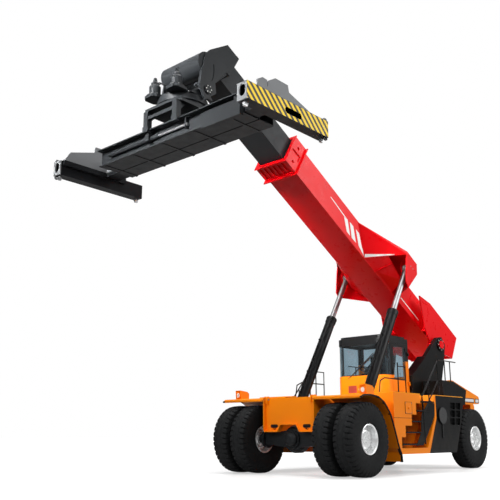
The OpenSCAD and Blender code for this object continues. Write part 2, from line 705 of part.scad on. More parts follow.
module cab_door() {
    color(black) machine() union() {
        difference() {
            box([door_x[0], cab_half - cab_t + 2, door_z[0]], [door_x[1], cab_half, door_z[1]]);
            box([door_x[0] + 80, cab_half - 100, sill_z - 120],
                [door_x[1] - 80, cab_half + 10, door_z[1] - 90]);
        }
        for (z = hinge_z) {
            box([hinge_p[0] - 14, hinge_p[1] - 10, z + 51], [door_x[0] + 40, hinge_p[1] + 18, z + 90]);
            box([door_x[0] + 10, cab_half - 10, z + 51], [door_x[0] + 40, hinge_p[1], z + 90]);
            translate([hinge_p[0], hinge_p[1], z - 8]) cylinder(h = 80, d = hinge_d);
        }
        bar([door_x[1] - 40, cab_half + 20, 2380], [door_x[1] - 40, cab_half + 20, 2600], 22);
        for (z = [2390, 2590]) shaft_y(18, 24, [door_x[1] - 40, cab_half + 10, z]);
    }
}
module door_glass() {
    s = seat_gap;
    color(glass, 0.5) machine() box([door_x[0] + 80 + s, cab_half - 30, sill_z - 120 + s],
        [door_x[1] - 80 - s, cab_half - 22, door_z[1] - 90 - s]);
}
// Rear lamps in the counterweight's end and along its sides
module lamp_boxes() {
    box([steer_x - 798, 1130, 1830], [steer_x - 700, 1350, 1925]);
    box([steer_x - 430, cw_half - 60, 1822], [steer_x + 110, cw_half + 6, 1898]);
    box([steer_x - 735, cw_half - 60, 1815], [steer_x - 540, cw_half + 6, 1898]);
}
module lamps() {
    color("white") machine() both() {
        lamp_boxes();
        shaft_x(110, 26, [pod_x + 1 + seat_gap, pod_y, 1880]);
    }
}
module mirrors() {
    x = split_x - 275;
    color(black) machine() both() union() {
        bar([x, body_half + 14, 820], [x, body_half + 14, 1370], 24);
        for (z = [850, 1050]) box([x - 20, body_half, z], [x + 20, body_half + 20, z + 30]);
        shaft_y(400, 20, [x, body_half + 34, 1370]);
    }
}

// Boom sections
half_w = boom_w / 2;
boom_top = boom_low + boom_h;
inner_play = 45;
inner_half = half_w - boom_t - inner_play;
inner_low = boom_low + boom_t + 20;
inner_top = boom_top - boom_t - 20;
inner_rear = 200;
module tube_a(a0, a1, half, b0, b1, t) {
    difference() {
        box([a0, -half, b0], [a1, half, b1]);
        box([a0 - 1, -half + t, b0 + t], [a1 + 1, half - t, b1 - t]);
    }
}
shoulder_y = 1176;
shoulder_t = 25;
cheek_y = 700;
module boom_outer() {
    color(red) machine() boom_frame() union() {
        tube_a(-boom_tail, boom_mouth, half_w, boom_low, boom_top, boom_t);
        collar();
        box([boom_mouth - 300, -inner_half + 60, boom_low + boom_t - 1],
            [boom_mouth - 60, inner_half - 60, inner_low - pad_gap]);
        both() shoulder();
        // Root cheeks and the pivot pin
        both() {
            across(40, cheek_y - 20) polygon(concat([[-boom_tail, boom_low + 20], [-boom_tail, boom_top],
                [700, boom_top], [1300, boom_top - 160], [650, boom_low - 100]],
                arc([0, 0], 200, -20, -160, 6)));
            for (a = [-boom_tail, -420, 380])
                box([a, half_w - 1, boom_low], [a + 40, cheek_y - 1, boom_top - 40]);
            shaft_y(300, 120, [0, cheek_y - 80, 0]);
            shaft_y(pivot_pin, 320, [0, cheek_y + 90, 0]);
        }
    }
}
// Collar at the mouth: a band with pad pockets, ribs below, and a wider plate at each end
collar_l = 470;
band = 50;
module collar() {
    a = boom_mouth - collar_l;
    difference() {
        union() {
            box([a, -half_w - band, boom_low - band], [boom_mouth, half_w + band, boom_top + band]);
            box([a - 25, -half_w - 110, boom_low - 120], [a, half_w + 110, boom_top + 60]);
            box([boom_mouth - 20, -half_w - 75, boom_low - 95], [boom_mouth, half_w + 75, boom_top + 70]);
        }
        box([a - 30, -half_w + 1, boom_low + 1], [boom_mouth + 1, half_w - 1, boom_top - 1]);
        // Side pockets and bolt holes
        both() {
            box([a + 60, half_w + band - 30, boom_low + 250], [a + 400, half_w + band + 1, boom_low + 450]);
            for (b = [120, 590]) shaft_y(90, 80, [a + 230, half_w + band, boom_low + b]);
        }
        // Pockets between the ribs of the underside
        step = (boom_w - 40) / 6;
        for (i = [0 : 5]) let (y = -half_w + 20 + i * step)
            box([a + 40, y + 12, boom_low - band - 1], [boom_mouth - 60, y + step - 12, boom_low - 12]);
    }
}
// Shoulder that takes a lift cylinder's eye from above: top, outer cheek, front and rear walls, and two lugs
module shoulder() {
    top = boom_top - 5;
    low = top - shoulder_t;
    root = half_w - 2;
    outer = [[3000, low + 1], [2440, low + 1], [2320, 760], [2540, 130], [2700, 180], [2950, 760],
             [3000, 930]];
    translate([0, 0, low]) linear_extrude(shoulder_t) polygon([[4450, root],
        [3000, shoulder_y], [2440, shoulder_y], [1600, root]]);
    across(shoulder_t, shoulder_y - shoulder_t / 2) polygon(outer);
    wall([[4450, root, low + 5], [3780, root, 280], [2990, shoulder_y - 4, 930],
        [2990, shoulder_y - 4, low + 5]], [9, 16, -8]);
    wall([[2000, root, 280], [1800, root, low + 5], [2440, shoulder_y - 20, low + 5],
        [2320, shoulder_y - 20, 760], [2535, shoulder_y - 20, 135]], [-14, 14, -6]);
    for (y = [lift_y - 107, lift_y + 107]) across(24, y) polygon(concat([[eye_a + 150, low + 1]],
        [[eye_a - 180, low + 1], [eye_a - 150, eye_b]], arc([eye_a, eye_b], 125, 200, 360, 8)));
}
module boom_inner() {
    color(grey) machine() boom_frame() union() {
        tube_a(inner_rear, tip_a, inner_half, inner_low, inner_top, boom_t);
        both() box([inner_rear, inner_half - 1, inner_low + 60],
            [inner_rear + 200, half_w - boom_t - pad_gap, inner_top - 60]);
        box([inner_rear, -inner_half + 60, inner_top - 1],
            [inner_rear + 200, inner_half - 60, boom_top - boom_t - pad_gap]);
    }
}

// Head: two side plates with a curved groove, a web and a cross tube between them, and the spreader's pin
plate_t = 60;
head_path = [[435, 943], [58, 952], [51, 560], [223, -205], [74, -405], [235, -773], [539, -617],
             [742, -21], [788, 139], [743, 365]];
groove_c = [998, -301];
groove_r = 670;
module head_groove() {
    polygon(concat(arc(groove_c, groove_r + 14, 139, 177, 10), arc(groove_c, groove_r - 14, 177, 139, 10)));
}
module boom_head() {
    pin = [head_pin_a - tip_a, head_pin_b];
    color(grey) machine() boom_frame() translate([tip_a, 0, 0]) union() {
        difference() {
            both() across(plate_t, head_half - plate_t / 2) polygon(head_path);
            both() across(24, head_half) {
                head_groove();
                polygon(concat(arc(pin, 134, -170, -10, 10), arc(pin, 114, -10, -170, 10)));
            }
        }
        shaft_y(540, 2 * head_half - plate_t, [622, 0, 21]);
        box([0, -head_half + 10, inner_low + 20], [90, head_half - 10, inner_top]);
        // Web along the lower rear edge
        across(2 * head_half - plate_t) polygon([[50, 330], [80, 335], [240, -180], [214, -205]]);
        both() {
            shaft_y(300, 30, [pin[0], head_half - plate_t - 10, pin[1]]);
            shaft_y(200, 24, [pin[0], head_half + 8, pin[1]]);
        }
        shaft_y(160, 2 * head_half, [pin[0], 0, pin[1]]);
    }
}

// Lift cylinders, drawn upright from the foot pin and leant into place
gland_l = 150;
bore_foot = 200;
rod_foot = barrel_l - 1600;
module lift_frame(y) {
    translate([foot_x, y, foot_z]) rotate([0, 90 - lift_lean, 0]) children();
}
module barrel() {
    difference() {
        union() {
            translate([0, 0, 160]) cylinder(h = barrel_l - 160, d = barrel_d);
            translate([0, 0, barrel_l - gland_l]) cylinder(h = gland_l, d = barrel_d + 20);
            shaft_y(240, 160);
            box([-110, -80, 0], [110, 80, 170]);
            // Oil pipe along the front, in three clamps
            translate([barrel_d / 2 + 24, 0, 300]) cylinder(h = 2100, d = 34, $fn = 16);
            for (z = [340, 1300, 2360]) box([barrel_d / 2 - 10, -32, z], [barrel_d / 2 + 46, 32, z + 40]);
        }
        translate([0, 0, bore_foot]) cylinder(h = barrel_l, d = rod_d + 2 * pin_gap);
    }
    shaft_y(foot_pin_d, 290);
}
module rod() {
    translate([0, 0, rod_foot]) cylinder(h = lift_len - rod_foot, d = rod_d);
    shaft_y(210, 120, [0, 0, lift_len]);
    shaft_y(90, 180, [0, 0, lift_len]);
}
module barrel_left() { color(black) machine() lift_frame(lift_y) barrel(); }
module barrel_right() { color(black) machine() lift_frame(-lift_y) barrel(); }
module rod_left() { color("white") machine() lift_frame(lift_y) rod(); }
module rod_right() { color("white") machine() lift_frame(-lift_y) rod(); }

// Yoke: hangs on the head pin and carries the slewing ring with its two motors
plate_z = 7784;
ring_z = 7800;
ring_h = 260;
ring_r = 560;
motor_x = 510;
motor_y = 350;
motor = [[0, 0], [190, 0], [190, 34], [128, 50], [128, 250], [90, 300], [90, 345], [55, 380], [34, 470],
         [0, 470]];
module yoke() {
    color(black) machine() difference() {
        union() {
            translate([slew_x, 0, ring_z]) rotate_extrude() polygon([[0, 0], [ring_r - 40, 0],
                [ring_r - 40, 70], [ring_r, 90], [ring_r, 220], [ring_r - 30, ring_h], [0, ring_h]]);
            both() across(70, 510) polygon(concat([[head_pin[0] + 420, ring_z + ring_h - 20],
                [head_pin[0] - 250, ring_z + ring_h - 20]], arc(head_pin, 130, 180, 0, 8)));
            both() translate([slew_x + motor_x, motor_y, ring_z + ring_h]) {
                linear_extrude(60, center = true) polygon([[-250, -110], [-110, -190], [110, -190],
                    [190, -110], [190, 110], [110, 190], [-110, 190], [-250, 110]]);
                translate([0, 0, 20]) rotate_extrude() polygon(motor);
            }
        }
        shaft_y(160 + 2 * pin_gap, 3000, [head_pin[0], 0, head_pin[1]]);
    }
}
// Turntable: the plate under the ring, with legs that slide on the main beams and the side shift's barrel
rail_z = beam_z + beam_h;
flange_half = 600;
leg_x = 590;
// Place of the side shift's cylinder in side view, and its barrel's two ends
shift_at = [505, rail_z - 185];
shift_d = 56;
barrel_head = -1880;
barrel_end = -160;
module turntable() {
    color(black) machine() translate([slew_x, 0, 0]) difference() {
        union() {
            translate([8, 0, plate_z - 60]) linear_extrude(60) polygon([[-648, -480], [-548, -580],
                [548, -580], [648, -480], [648, 480], [548, 580], [-548, 580], [-648, 480]]);
            translate([0, 0, plate_z - 10]) cylinder(h = ring_z - plate_z + 10 - seat_gap, r = ring_r - 80);
            for (turn = [0, 180]) rotate(turn) {
                both() {
                    box([leg_x - 66, 400, rail_z + seat_gap], [leg_x + 66, 530, plate_z - 50]);
                    box([flange_half + 10, 380, rail_z - 70], [flange_half + 60, 550, rail_z + 60]);
                    box([flange_half - 40, 380, rail_z - 70], [flange_half + 60, 550, rail_z - 30]);
                    // Gusset inside the leg
                    across(30, 465) polygon([[530, plate_z - 55], [340, plate_z - 55], [530, plate_z - 260]]);
                }
                box([leg_x - 40, -410, plate_z - 240], [leg_x + 40, 410, plate_z - 160]);
            }
            shaft_y(100, barrel_end - barrel_head,
                [shift_at[0], (barrel_head + barrel_end) / 2, shift_at[1]]);
            box([shift_at[0] - 40, -530, shift_at[1] - 70], [flange_half - 5, -410, rail_z - 30]);
        }
        shaft_y(shift_d + 2 * pin_gap, 1700, [shift_at[0], barrel_end - 849, shift_at[1]]);
    }
}

// Spreader: two box beams side by side under a flange, and along the front a closed box on the
// left half and the rod of the side shift on the right
beam_w = 440;
beam_t = 20;
arm_w = beam_w - 2 * beam_t - 20;
arm_h = beam_h - 2 * beam_t - 40;
beam_x = beam_w / 2 + 15;
front_x = beam_x + beam_w / 2;
box_y = 1170;
clevis_y = [690, 715];
clevis_x = flange_half - 48;
module spreader_frame() {
    color(black) machine() translate([slew_x, 0, 0]) difference() {
        union() {
            for (s = [-1, 1]) difference() {
                box([s * beam_x - beam_w / 2, -beam_half, beam_z],
                    [s * beam_x + beam_w / 2, beam_half, rail_z - 25]);
                box([s * beam_x - beam_w / 2 + beam_t, -beam_half - 1, beam_z + beam_t],
                    [s * beam_x + beam_w / 2 - beam_t, beam_half + 1, rail_z - 25 - beam_t]);
            }
            box([-20, -beam_half, beam_z + 60], [20, beam_half, rail_z - 60]);
            box([-flange_half, -beam_half, rail_z - 25], [flange_half, beam_half, rail_z]);
            box([front_x - 1, -beam_half, beam_z], [front_x + 65, beam_half, beam_z + 20]);
            // Closed box of the left half, and the plate that ends the channel above it
            difference() {
                box([front_x - 1, box_y, beam_z - 60], [front_x + 100, beam_half, rail_z - 105]);
                box([front_x + 10, box_y - 1, beam_z - 45], [front_x + 88, beam_half - 12, rail_z - 117]);
            }
            box([front_x - 1, beam_half - 160, rail_z - 106], [front_x + 100, beam_half, rail_z - 24]);
            // Clevis plate of the side shift's rod, with its web
            box([front_x - 1, clevis_y[0], shift_at[1] - 90], [clevis_x, clevis_y[1], rail_z - 24]);
            box([front_x - 1, clevis_y[1] - 1, rail_z - 45], [clevis_x, clevis_y[1] + 120, rail_z - 24]);
            // Straps round the beams' lower edges
            for (y = [-2100, -1100, -120, 860, 1840])
                box([-front_x - 10, y, beam_z - 12], [front_x + 8, y + 60, beam_z + 1]);
        }
        shaft_y(shift_d + 2 * pin_gap, 60, [shift_at[0], clevis_y[0] + 10, shift_at[1]]);
    }
}
module shift_rod() {
    inner = barrel_end - shift_travel - 80;
    outer = clevis_y[1] + 25;
    color("white") machine() translate([slew_x, 0, 0]) {
        shaft_y(shift_d, outer - inner, [shift_at[0], (outer + inner) / 2, shift_at[1]]);
        for (y = [clevis_y[0] - 7 - seat_gap, clevis_y[1] + 7 + seat_gap])
            shaft_y(shift_d + 24, 14, [shift_at[0], y, shift_at[1]]);
    }
}
// Arm: a tube that slides in a main beam, an end beam with open rounded ends and a slot, and its gussets
lock_d = 64;
gusset_in = 60;
module arm(s) {
    inner_y = -beam_half + 350;
    end_y = spread_w / 2;
    plate_y = end_y - end_t - gusset_in;
    top = end_z + end_h;
    translate([slew_x, 0, 0]) {
        difference() {
            box([s * beam_x - arm_w / 2, inner_y, beam_z + beam_t + pad_gap],
                [s * beam_x + arm_w / 2, end_y - end_t + 1, beam_z + beam_t + arm_h]);
            box([s * beam_x - arm_w / 2 + beam_t, inner_y - 1, beam_z + 2 * beam_t],
                [s * beam_x + arm_w / 2 - beam_t, end_y - end_t - 40, beam_z + arm_h]);
        }
        translate([0, end_y - end_t / 2, 0]) difference() {
            box([-end_l / 2, -end_t / 2, end_z], [end_l / 2, end_t / 2, top]);
            box([-end_l / 2 + 30, -end_t / 2 + 15, end_z + 60], [end_l / 2 - 30, end_t / 2 - 15, top - 15]);
            // Rounded opening in each end, and the slot in the outer face
            translate([0, 0, end_z + end_h / 2 + 15]) rotate([90, 0, 90])
                linear_extrude(end_l + 2, center = true) rotate(90) stadium(230, 150);
            across(40, end_t / 2) translate([-100, end_z + 150]) stadium(500, 130);
            for (x = [-1, 1]) translate([x * lock_pitch / 2, 0, end_z - 1])
                cylinder(h = 100, d = lock_d + 2 * pin_gap);
        }
        across(30, plate_y) polygon([[-1150, top - 1], [-1000, top + 230], [-340, top + 420],
            [-308, top + 565], [78, top + 571], [288, top + 440], [310, top + 300], [321, top + 310],
            [321, top + 440], [458, top + 450], [602, top + 360], [640, top - 1]]);
        box([-1150, plate_y - 15, top - 120], [640, end_y - end_t + 1, top + 20]);
        for (x = [-700, 0, 460]) box([x, plate_y, top], [x + 30, end_y - end_t, top + 120]);
        // Hooks at the rear end, above and below
        for (z = [end_z - 45, top - 5]) across(30, end_y - 40) translate([-end_l / 2 + 60, z + 25])
            difference() {
                stadium(120, 90);
                circle(d = 40);
            }
    }
}
module arm_left() { color(black) machine() arm(1); }
module arm_right() {
    color(black) machine() translate([slew_x, 0, 0]) rotate(180) translate([-slew_x, 0, 0]) arm(1);
}
module twistlock(x, y) {
    color(steel) machine() translate([slew_x + x * lock_pitch / 2, y * (spread_w - end_t) / 2, end_z]) {
        translate([0, 0, -40]) cylinder(h = 160, d = lock_d);
        translate([0, 0, 60 + seat_gap]) cylinder(h = 40, d = 110);
        translate([0, 0, -60]) linear_extrude(30) square([100, 56], center = true);
        translate([0, 0, -95]) linear_extrude(36) square([76, 48], center = true);
    }
}
module twistlock_front_left() { twistlock(1, 1); }
module twistlock_rear_left() { twistlock(-1, 1); }
module twistlock_front_right() { twistlock(1, -1); }
module twistlock_rear_right() { twistlock(-1, -1); }

frame();
drive_axle();
driveline();
steer_axle();
engine();
engine_hood();
counterweight();
boom_towers();
deck();
front_fenders();
side_bodies();
rear_skirts();
steps_and_rails();
lamps();
mirrors();
cab_shell();
cab_roof();
cab_glass();
cab_interior();
cab_door();
door_glass();
knuckle_left();
knuckle_right();
front_tyres_left();
front_tyres_right();
front_rims_left();
front_rims_right();
rear_tyre_left();
rear_tyre_right();
rear_rim_left();
rear_rim_right();
boom_outer();
boom_inner();
boom_head();
barrel_left();
barrel_right();
rod_left();
rod_right();
yoke();
turntable();
spreader_frame();
shift_rod();
arm_left();
arm_right();
twistlock_front_left();
twistlock_rear_left();
twistlock_front_right();
twistlock_rear_right();
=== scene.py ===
"""Reach stacker: its looks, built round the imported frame.

Lengths are metres in the row's frame: X forward, Y to the driver's left, Z up.
A new piece is a surface worked out with numpy on a grid of two parameters, or a profile carried along a path.
"""
import math

import bmesh
import bpy
import numpy as np
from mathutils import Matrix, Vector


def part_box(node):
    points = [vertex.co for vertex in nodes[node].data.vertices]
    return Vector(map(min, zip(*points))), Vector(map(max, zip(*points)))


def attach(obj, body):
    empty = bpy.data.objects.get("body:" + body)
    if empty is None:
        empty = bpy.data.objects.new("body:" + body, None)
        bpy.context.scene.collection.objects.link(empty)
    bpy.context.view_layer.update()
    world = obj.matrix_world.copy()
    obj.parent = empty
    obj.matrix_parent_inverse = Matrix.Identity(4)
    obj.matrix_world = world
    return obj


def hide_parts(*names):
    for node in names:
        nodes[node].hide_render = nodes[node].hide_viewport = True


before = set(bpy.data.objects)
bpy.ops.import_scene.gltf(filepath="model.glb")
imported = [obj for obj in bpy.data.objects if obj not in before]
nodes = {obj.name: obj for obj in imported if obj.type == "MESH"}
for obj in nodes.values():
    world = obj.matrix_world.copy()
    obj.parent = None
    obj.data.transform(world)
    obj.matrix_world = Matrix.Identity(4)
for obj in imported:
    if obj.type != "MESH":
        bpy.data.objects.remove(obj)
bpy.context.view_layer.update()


def middle(node):
    """Centre of a CAD node's box."""
    lo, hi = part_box(node)
    return (np.array(lo) + np.array(hi)) / 2


# The drive axle is the zero of the machine's own lengths, which the numbers below are measured from
DRIVE = middle("front_rims_left")
STEER = middle("rear_rim_left")
SLEW = middle("spreader_frame")
AXLE_Z = DRIVE[2]


def at(x, y, z):
    """A point measured from the middle of the drive axle on the ground."""
    return np.array([x + DRIVE[0], y, z], float)


# Surfaces: each is an array of corners and a list of arrays of faces

def lattice(rows, cols, loop_rows=False, loop_cols=False):
    """Quads of a grid of corners: (i, j), (i+1, j), (i+1, j+1), (i, j+1).
    A way that is closed goes round again."""
    i, j = np.meshgrid(np.arange(rows - (not loop_rows)), np.arange(cols - (not loop_cols)), indexing="ij")
    n, m = (i + 1) % rows, (j + 1) % cols
    return np.stack([i * cols + j, n * cols + j, n * cols + m, i * cols + m], -1).reshape(-1, 4)


def unit(v):
    """Each vector over its own length."""
    return v / np.linalg.norm(v, axis=-1, keepdims=True)


def square_to(axis):
    """An axis w, and two directions square to it and to one another.
    They are u = w x up, with up just off the upright, and v = w x u."""
    w = unit(np.asarray(axis, float))
    u = unit(np.cross(w, [0.0, 0.1, 1.0]))
    return w, u, np.cross(w, u)


def carried(sections, closed=False):
    """A closed outline at each of several stations, skinned and capped: an array (station, corner, 3)."""
    n, k = sections.shape[:2]
    faces = [lattice(n, k, closed, True)]
    if not closed:
        faces += [np.arange(k)[None, ::-1], np.arange(k)[None] + (n - 1) * k]
    return sections.reshape(-1, 3), faces


def turned(profile, centre, axis="y", n=64):
    """A profile of (along, radius) turned round an axis w through centre:
    centre + along w + radius (u cos t + v sin t)."""
    a, r = np.asarray(profile, float).T
    t = np.linspace(0, 2 * math.pi, n, endpoint=False)[:, None]
    if isinstance(axis, str):
        w, u = np.eye(3)["xyz".index(axis)], np.eye(3)["yzx".index(axis)]
        v = np.cross(w, u)
    else:
        w, u, v = square_to(axis)
    p = a[:, None] * w + (r * np.cos(t))[..., None] * u + (r * np.sin(t))[..., None] * v
    return (p + centre).reshape(-1, 3), [lattice(n, len(a), True, True)]


def slab(outline, depth, origin, u, v):
    """A flat outline of (a, b) carried straight along u x v: origin + a u + b v + depth (u x v)."""
    u, v = np.asarray(u, float), np.asarray(v, float)
    o = np.asarray(outline, float)
    base = origin + o[:, :1] * u + o[:, 1:] * v
    return carried(np.stack([base, base + depth * np.cross(u, v)]))


def swept(section, path, up=(0, 0, 1), closed=False):
    """A section of (a, b) carried along a path: p + a side + b rise.
    side = up x way, and rise = way x side."""
    p, s = np.asarray(path, float), np.asarray(section, float)
    way = unit(np.roll(p, -1, 0) - np.roll(p, 1, 0) if closed else np.gradient(p, axis=0))
    side = unit(np.cross(np.asarray(up, float), way))
    rise = np.cross(way, side)
    return carried(p[:, None] + s[None, :, :1] * side[:, None] + s[None, :, 1:] * rise[:, None], closed)


def circle(r, n=12, start=0.0):
    """n corners of a round outline: (r cos t, r sin t)."""
    t = start + np.linspace(0, 2 * math.pi, n, endpoint=False)
    return np.stack([r * np.cos(t), r * np.sin(t)], 1)


def eased(path, reach, steps=5):
    """A bent line whose corners are rounded: (1-t)^2 before + 2t(1-t) corner + t^2 after.
    The points before and after lie reach away from the corner."""
    p = np.asarray(path, float)
    t = np.linspace(0, 1, steps)[:, None]
    out = [p[:1]]
    for a, b, c in zip(p[:-2], p[1:-1], p[2:]):
        before, after = b + unit(a - b) * reach, b + unit(c - b) * reach
        out.append((1 - t) ** 2 * before + 2 * t * (1 - t) * b + t ** 2 * after)
    return np.concatenate(out + [p[-1:]])


def tube(path, r, reach=0.0, up=(0, 0, 1), n=10):
    """A round bar along a path, with its bends eased over reach."""
    return swept(circle(r, n), eased(path, reach) if reach else path, up)


def studs(places, axis, size, tall):
    """Hexagon heads with a chamfered top: one head's three rings, broadcast to every place along the axis."""
    w = unit(np.asarray(axis, float))
    u = unit(np.cross(w, [0.3, 0.9, 0.2]))
    v = np.cross(w, u)
    rings = [(0, 1), (0.75 * tall, 1), (tall, 0.8)]
    c = circle(size / 2, 6)
    head = np.concatenate([h * w + k * (c[:, :1] * u + c[:, 1:] * v) for h, k in rings])
    places = np.asarray(places, float).reshape(-1, 3)
    start = np.arange(len(places))[:, None, None] * len(head)
    side = (lattice(3, 6, False, True)[None] + start).reshape(-1, 4)
    caps = (np.stack([np.arange(6)[::-1], np.arange(12, 18)])[None] + start).reshape(-1, 6)
    return (places[:, None] + head).reshape(-1, 3), [side, caps]


def ring_of(centre, r, n, axis=(0, 1, 0), start=0.0):
    """n places round a circle square to an axis: centre + r (u cos t + v sin t)."""
    w, u, v = square_to(axis)
    c = circle(r, n, start)
    return np.asarray(centre) + c[:, :1] * u + c[:, 1:] * v


def film(corners, lift):
    """A flat sheet with the given corners, carried by the vector lift."""
    base = np.asarray(corners, float)
    return carried(np.stack([base, base + lift]))


def block(lo, hi, edge=0.004):
    """A plate or bar with its four upright edges broken by edge."""
    lo, hi = np.asarray(lo, float), np.asarray(hi, float)
    e = min(edge, 0.4 * min((hi - lo)[:2]))
    ring = [(lo[0] + e, lo[1]), (hi[0] - e, lo[1]), (hi[0], lo[1] + e), (hi[0], hi[1] - e),
            (hi[0] - e, hi[1]), (lo[0] + e, hi[1]), (lo[0], hi[1] - e), (lo[0], lo[1] + e)]
    return carried(np.stack([np.array([(x, y, z) for x, y in ring]) for z in (lo[2], hi[2])]))


def pillow(lo, hi, power=0.35, crown=0.0, channels=0, along=0, n=40):
    """A crowned closed form: a superellipsoid, whose cos and sin are raised to a power with their signs kept.
    It swells by crown (1 - x^2)(1 - y^2), and draws in at its sewn channels, where |cos| of the way is 1."""
    lo, hi = np.asarray(lo, float), np.asarray(hi, float)
    t = np.linspace(0, 2 * math.pi, n, endpoint=False)[:, None]
    s = np.linspace(-math.pi / 2, math.pi / 2, n // 2 + 1)[None]
    turns = (np.cos(t), np.sin(t), np.cos(s), np.sin(s))
    cos_t, sin_t, cos_s, sin_s = [np.sign(x) * np.abs(x) ** power for x in turns]
    shape = np.stack([cos_t * cos_s, sin_t * cos_s, sin_s * np.ones_like(t)], -1)
    if channels:
        draw, sharpness = 0.10, 12
        seam = 1 - draw * np.abs(np.cos(math.pi * channels * (shape[..., along] + 1) / 2)) ** sharpness
        for k in range(3):
            if k != along:
                shape[..., k] *= seam
    shape[..., 2] *= 1 + crown * (1 - shape[..., 0] ** 2) * (1 - shape[..., 1] ** 2)
    p = (lo + hi) / 2 + shape * (hi - lo) / 2 / np.array([1, 1, 1 + crown])
    return p.reshape(-1, 3), [lattice(n, n // 2 + 1, True, False)]


def mirrored(shell):
    """The same surface on the other side of the middle plane."""
    v, f = shell
    return v * [1, -1, 1], [np.asarray(g)[:, ::-1] for g in f]


def both(shells):
    """The surfaces with their mirror images."""
    return shells + [mirrored(s) for s in shells]


def put(name, shells, finish, body, wear=None):
    """Joins surfaces into one piece, turns its faces outwards, and sets it on its body.
    An edge that bends by more than 32 degrees stays sharp."""
    groups, start = [], 0
    for v, f in shells:
        groups += [np.asarray(g) + start for g in f]
        start += len(v)
    corners = np.concatenate([g.ravel() for g in groups]).astype(np.int32)
    sides = np.concatenate([np.full(len(g), g.shape[1]) for g in groups])
    mesh = bpy.data.meshes.new(name)
    mesh.vertices.add(start)
    mesh.vertices.foreach_set("co", np.concatenate([v for v, f in shells]).astype(np.float32).ravel())
    mesh.loops.add(len(corners))
    mesh.loops.foreach_set("vertex_index", corners)
    mesh.polygons.add(len(sides))
    mesh.polygons.foreach_set("loop_start", (np.cumsum(sides) - sides).astype(np.int32))
    if wear is not None:
        mesh.attributes.new("wear", "FLOAT", "POINT").data.foreach_set("value", np.asarray(wear, np.float32))
    mesh.update(calc_edges=True)
    mesh.validate()
    bm = bmesh.new()
    bm.from_mesh(mesh)
    bmesh.ops.remove_doubles(bm, verts=bm.verts, dist=1e-5)
    bmesh.ops.recalc_face_normals(bm, faces=bm.faces)
    bm.to_mesh(mesh)
    bm.free()
    mesh.polygons.foreach_set("use_smooth", np.ones(len(mesh.polygons), bool))
    mesh.set_sharp_from_angle(angle=math.radians(32))
    mesh.materials.append(finish)
    piece = bpy.data.objects.new(name, mesh)
    bpy.context.scene.collection.objects.link(piece)
    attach(piece, body)
    return piece


# Finishes

def rgb(hexa, share=1.0):
    """An sRGB hex value as linear light, times a share.
    It is c / 12.92 up to 0.04045, and ((c + 0.055) / 1.055) ^ 2.4 above."""
    s = np.array([int(hexa[i:i + 2], 16) for i in (0, 2, 4)]) / 255
    return (*(share * np.where(s <= 0.04045, s / 12.92, ((s + 0.055) / 1.055) ** 2.4)), 1.0)


def add(tree, kind, links=None, **settings):
    """Adds a node. Settings are its own properties, and links its inputs, by number or by name among those
    in use: each is a value, an output that feeds it, or a node whose first output in use does."""
    node = tree.nodes.new(kind)
    for key, value in settings.items():
        setattr(node, key, value)
    for key, value in (links or {}).items():
        end = key if isinstance(key, int) else [s.enabled and s.name for s in node.inputs].index(key)
        if isinstance(value, bpy.types.Node):
            value = next(s for s in value.outputs if s.enabled)
        if isinstance(value, bpy.types.NodeSocket):
            tree.links.new(value, node.inputs[end])
        else:
            node.inputs[end].default_value = value
    return node


def begin(name):
    """A new material, its tree, and the place on the piece in metres."""
    m = bpy.data.materials.new(name)
    m.use_nodes = True
    tree = m.node_tree
    tree.nodes.clear()
    return m, tree, add(tree, "ShaderNodeTexCoord").outputs["Object"]


def coated(m, links):
    """Ends a material with its shader, which takes the given inputs."""
    shader = add(m.node_tree, "ShaderNodeBsdfPrincipled", links)
    add(m.node_tree, "ShaderNodeOutputMaterial", {"Surface": shader})
    return m


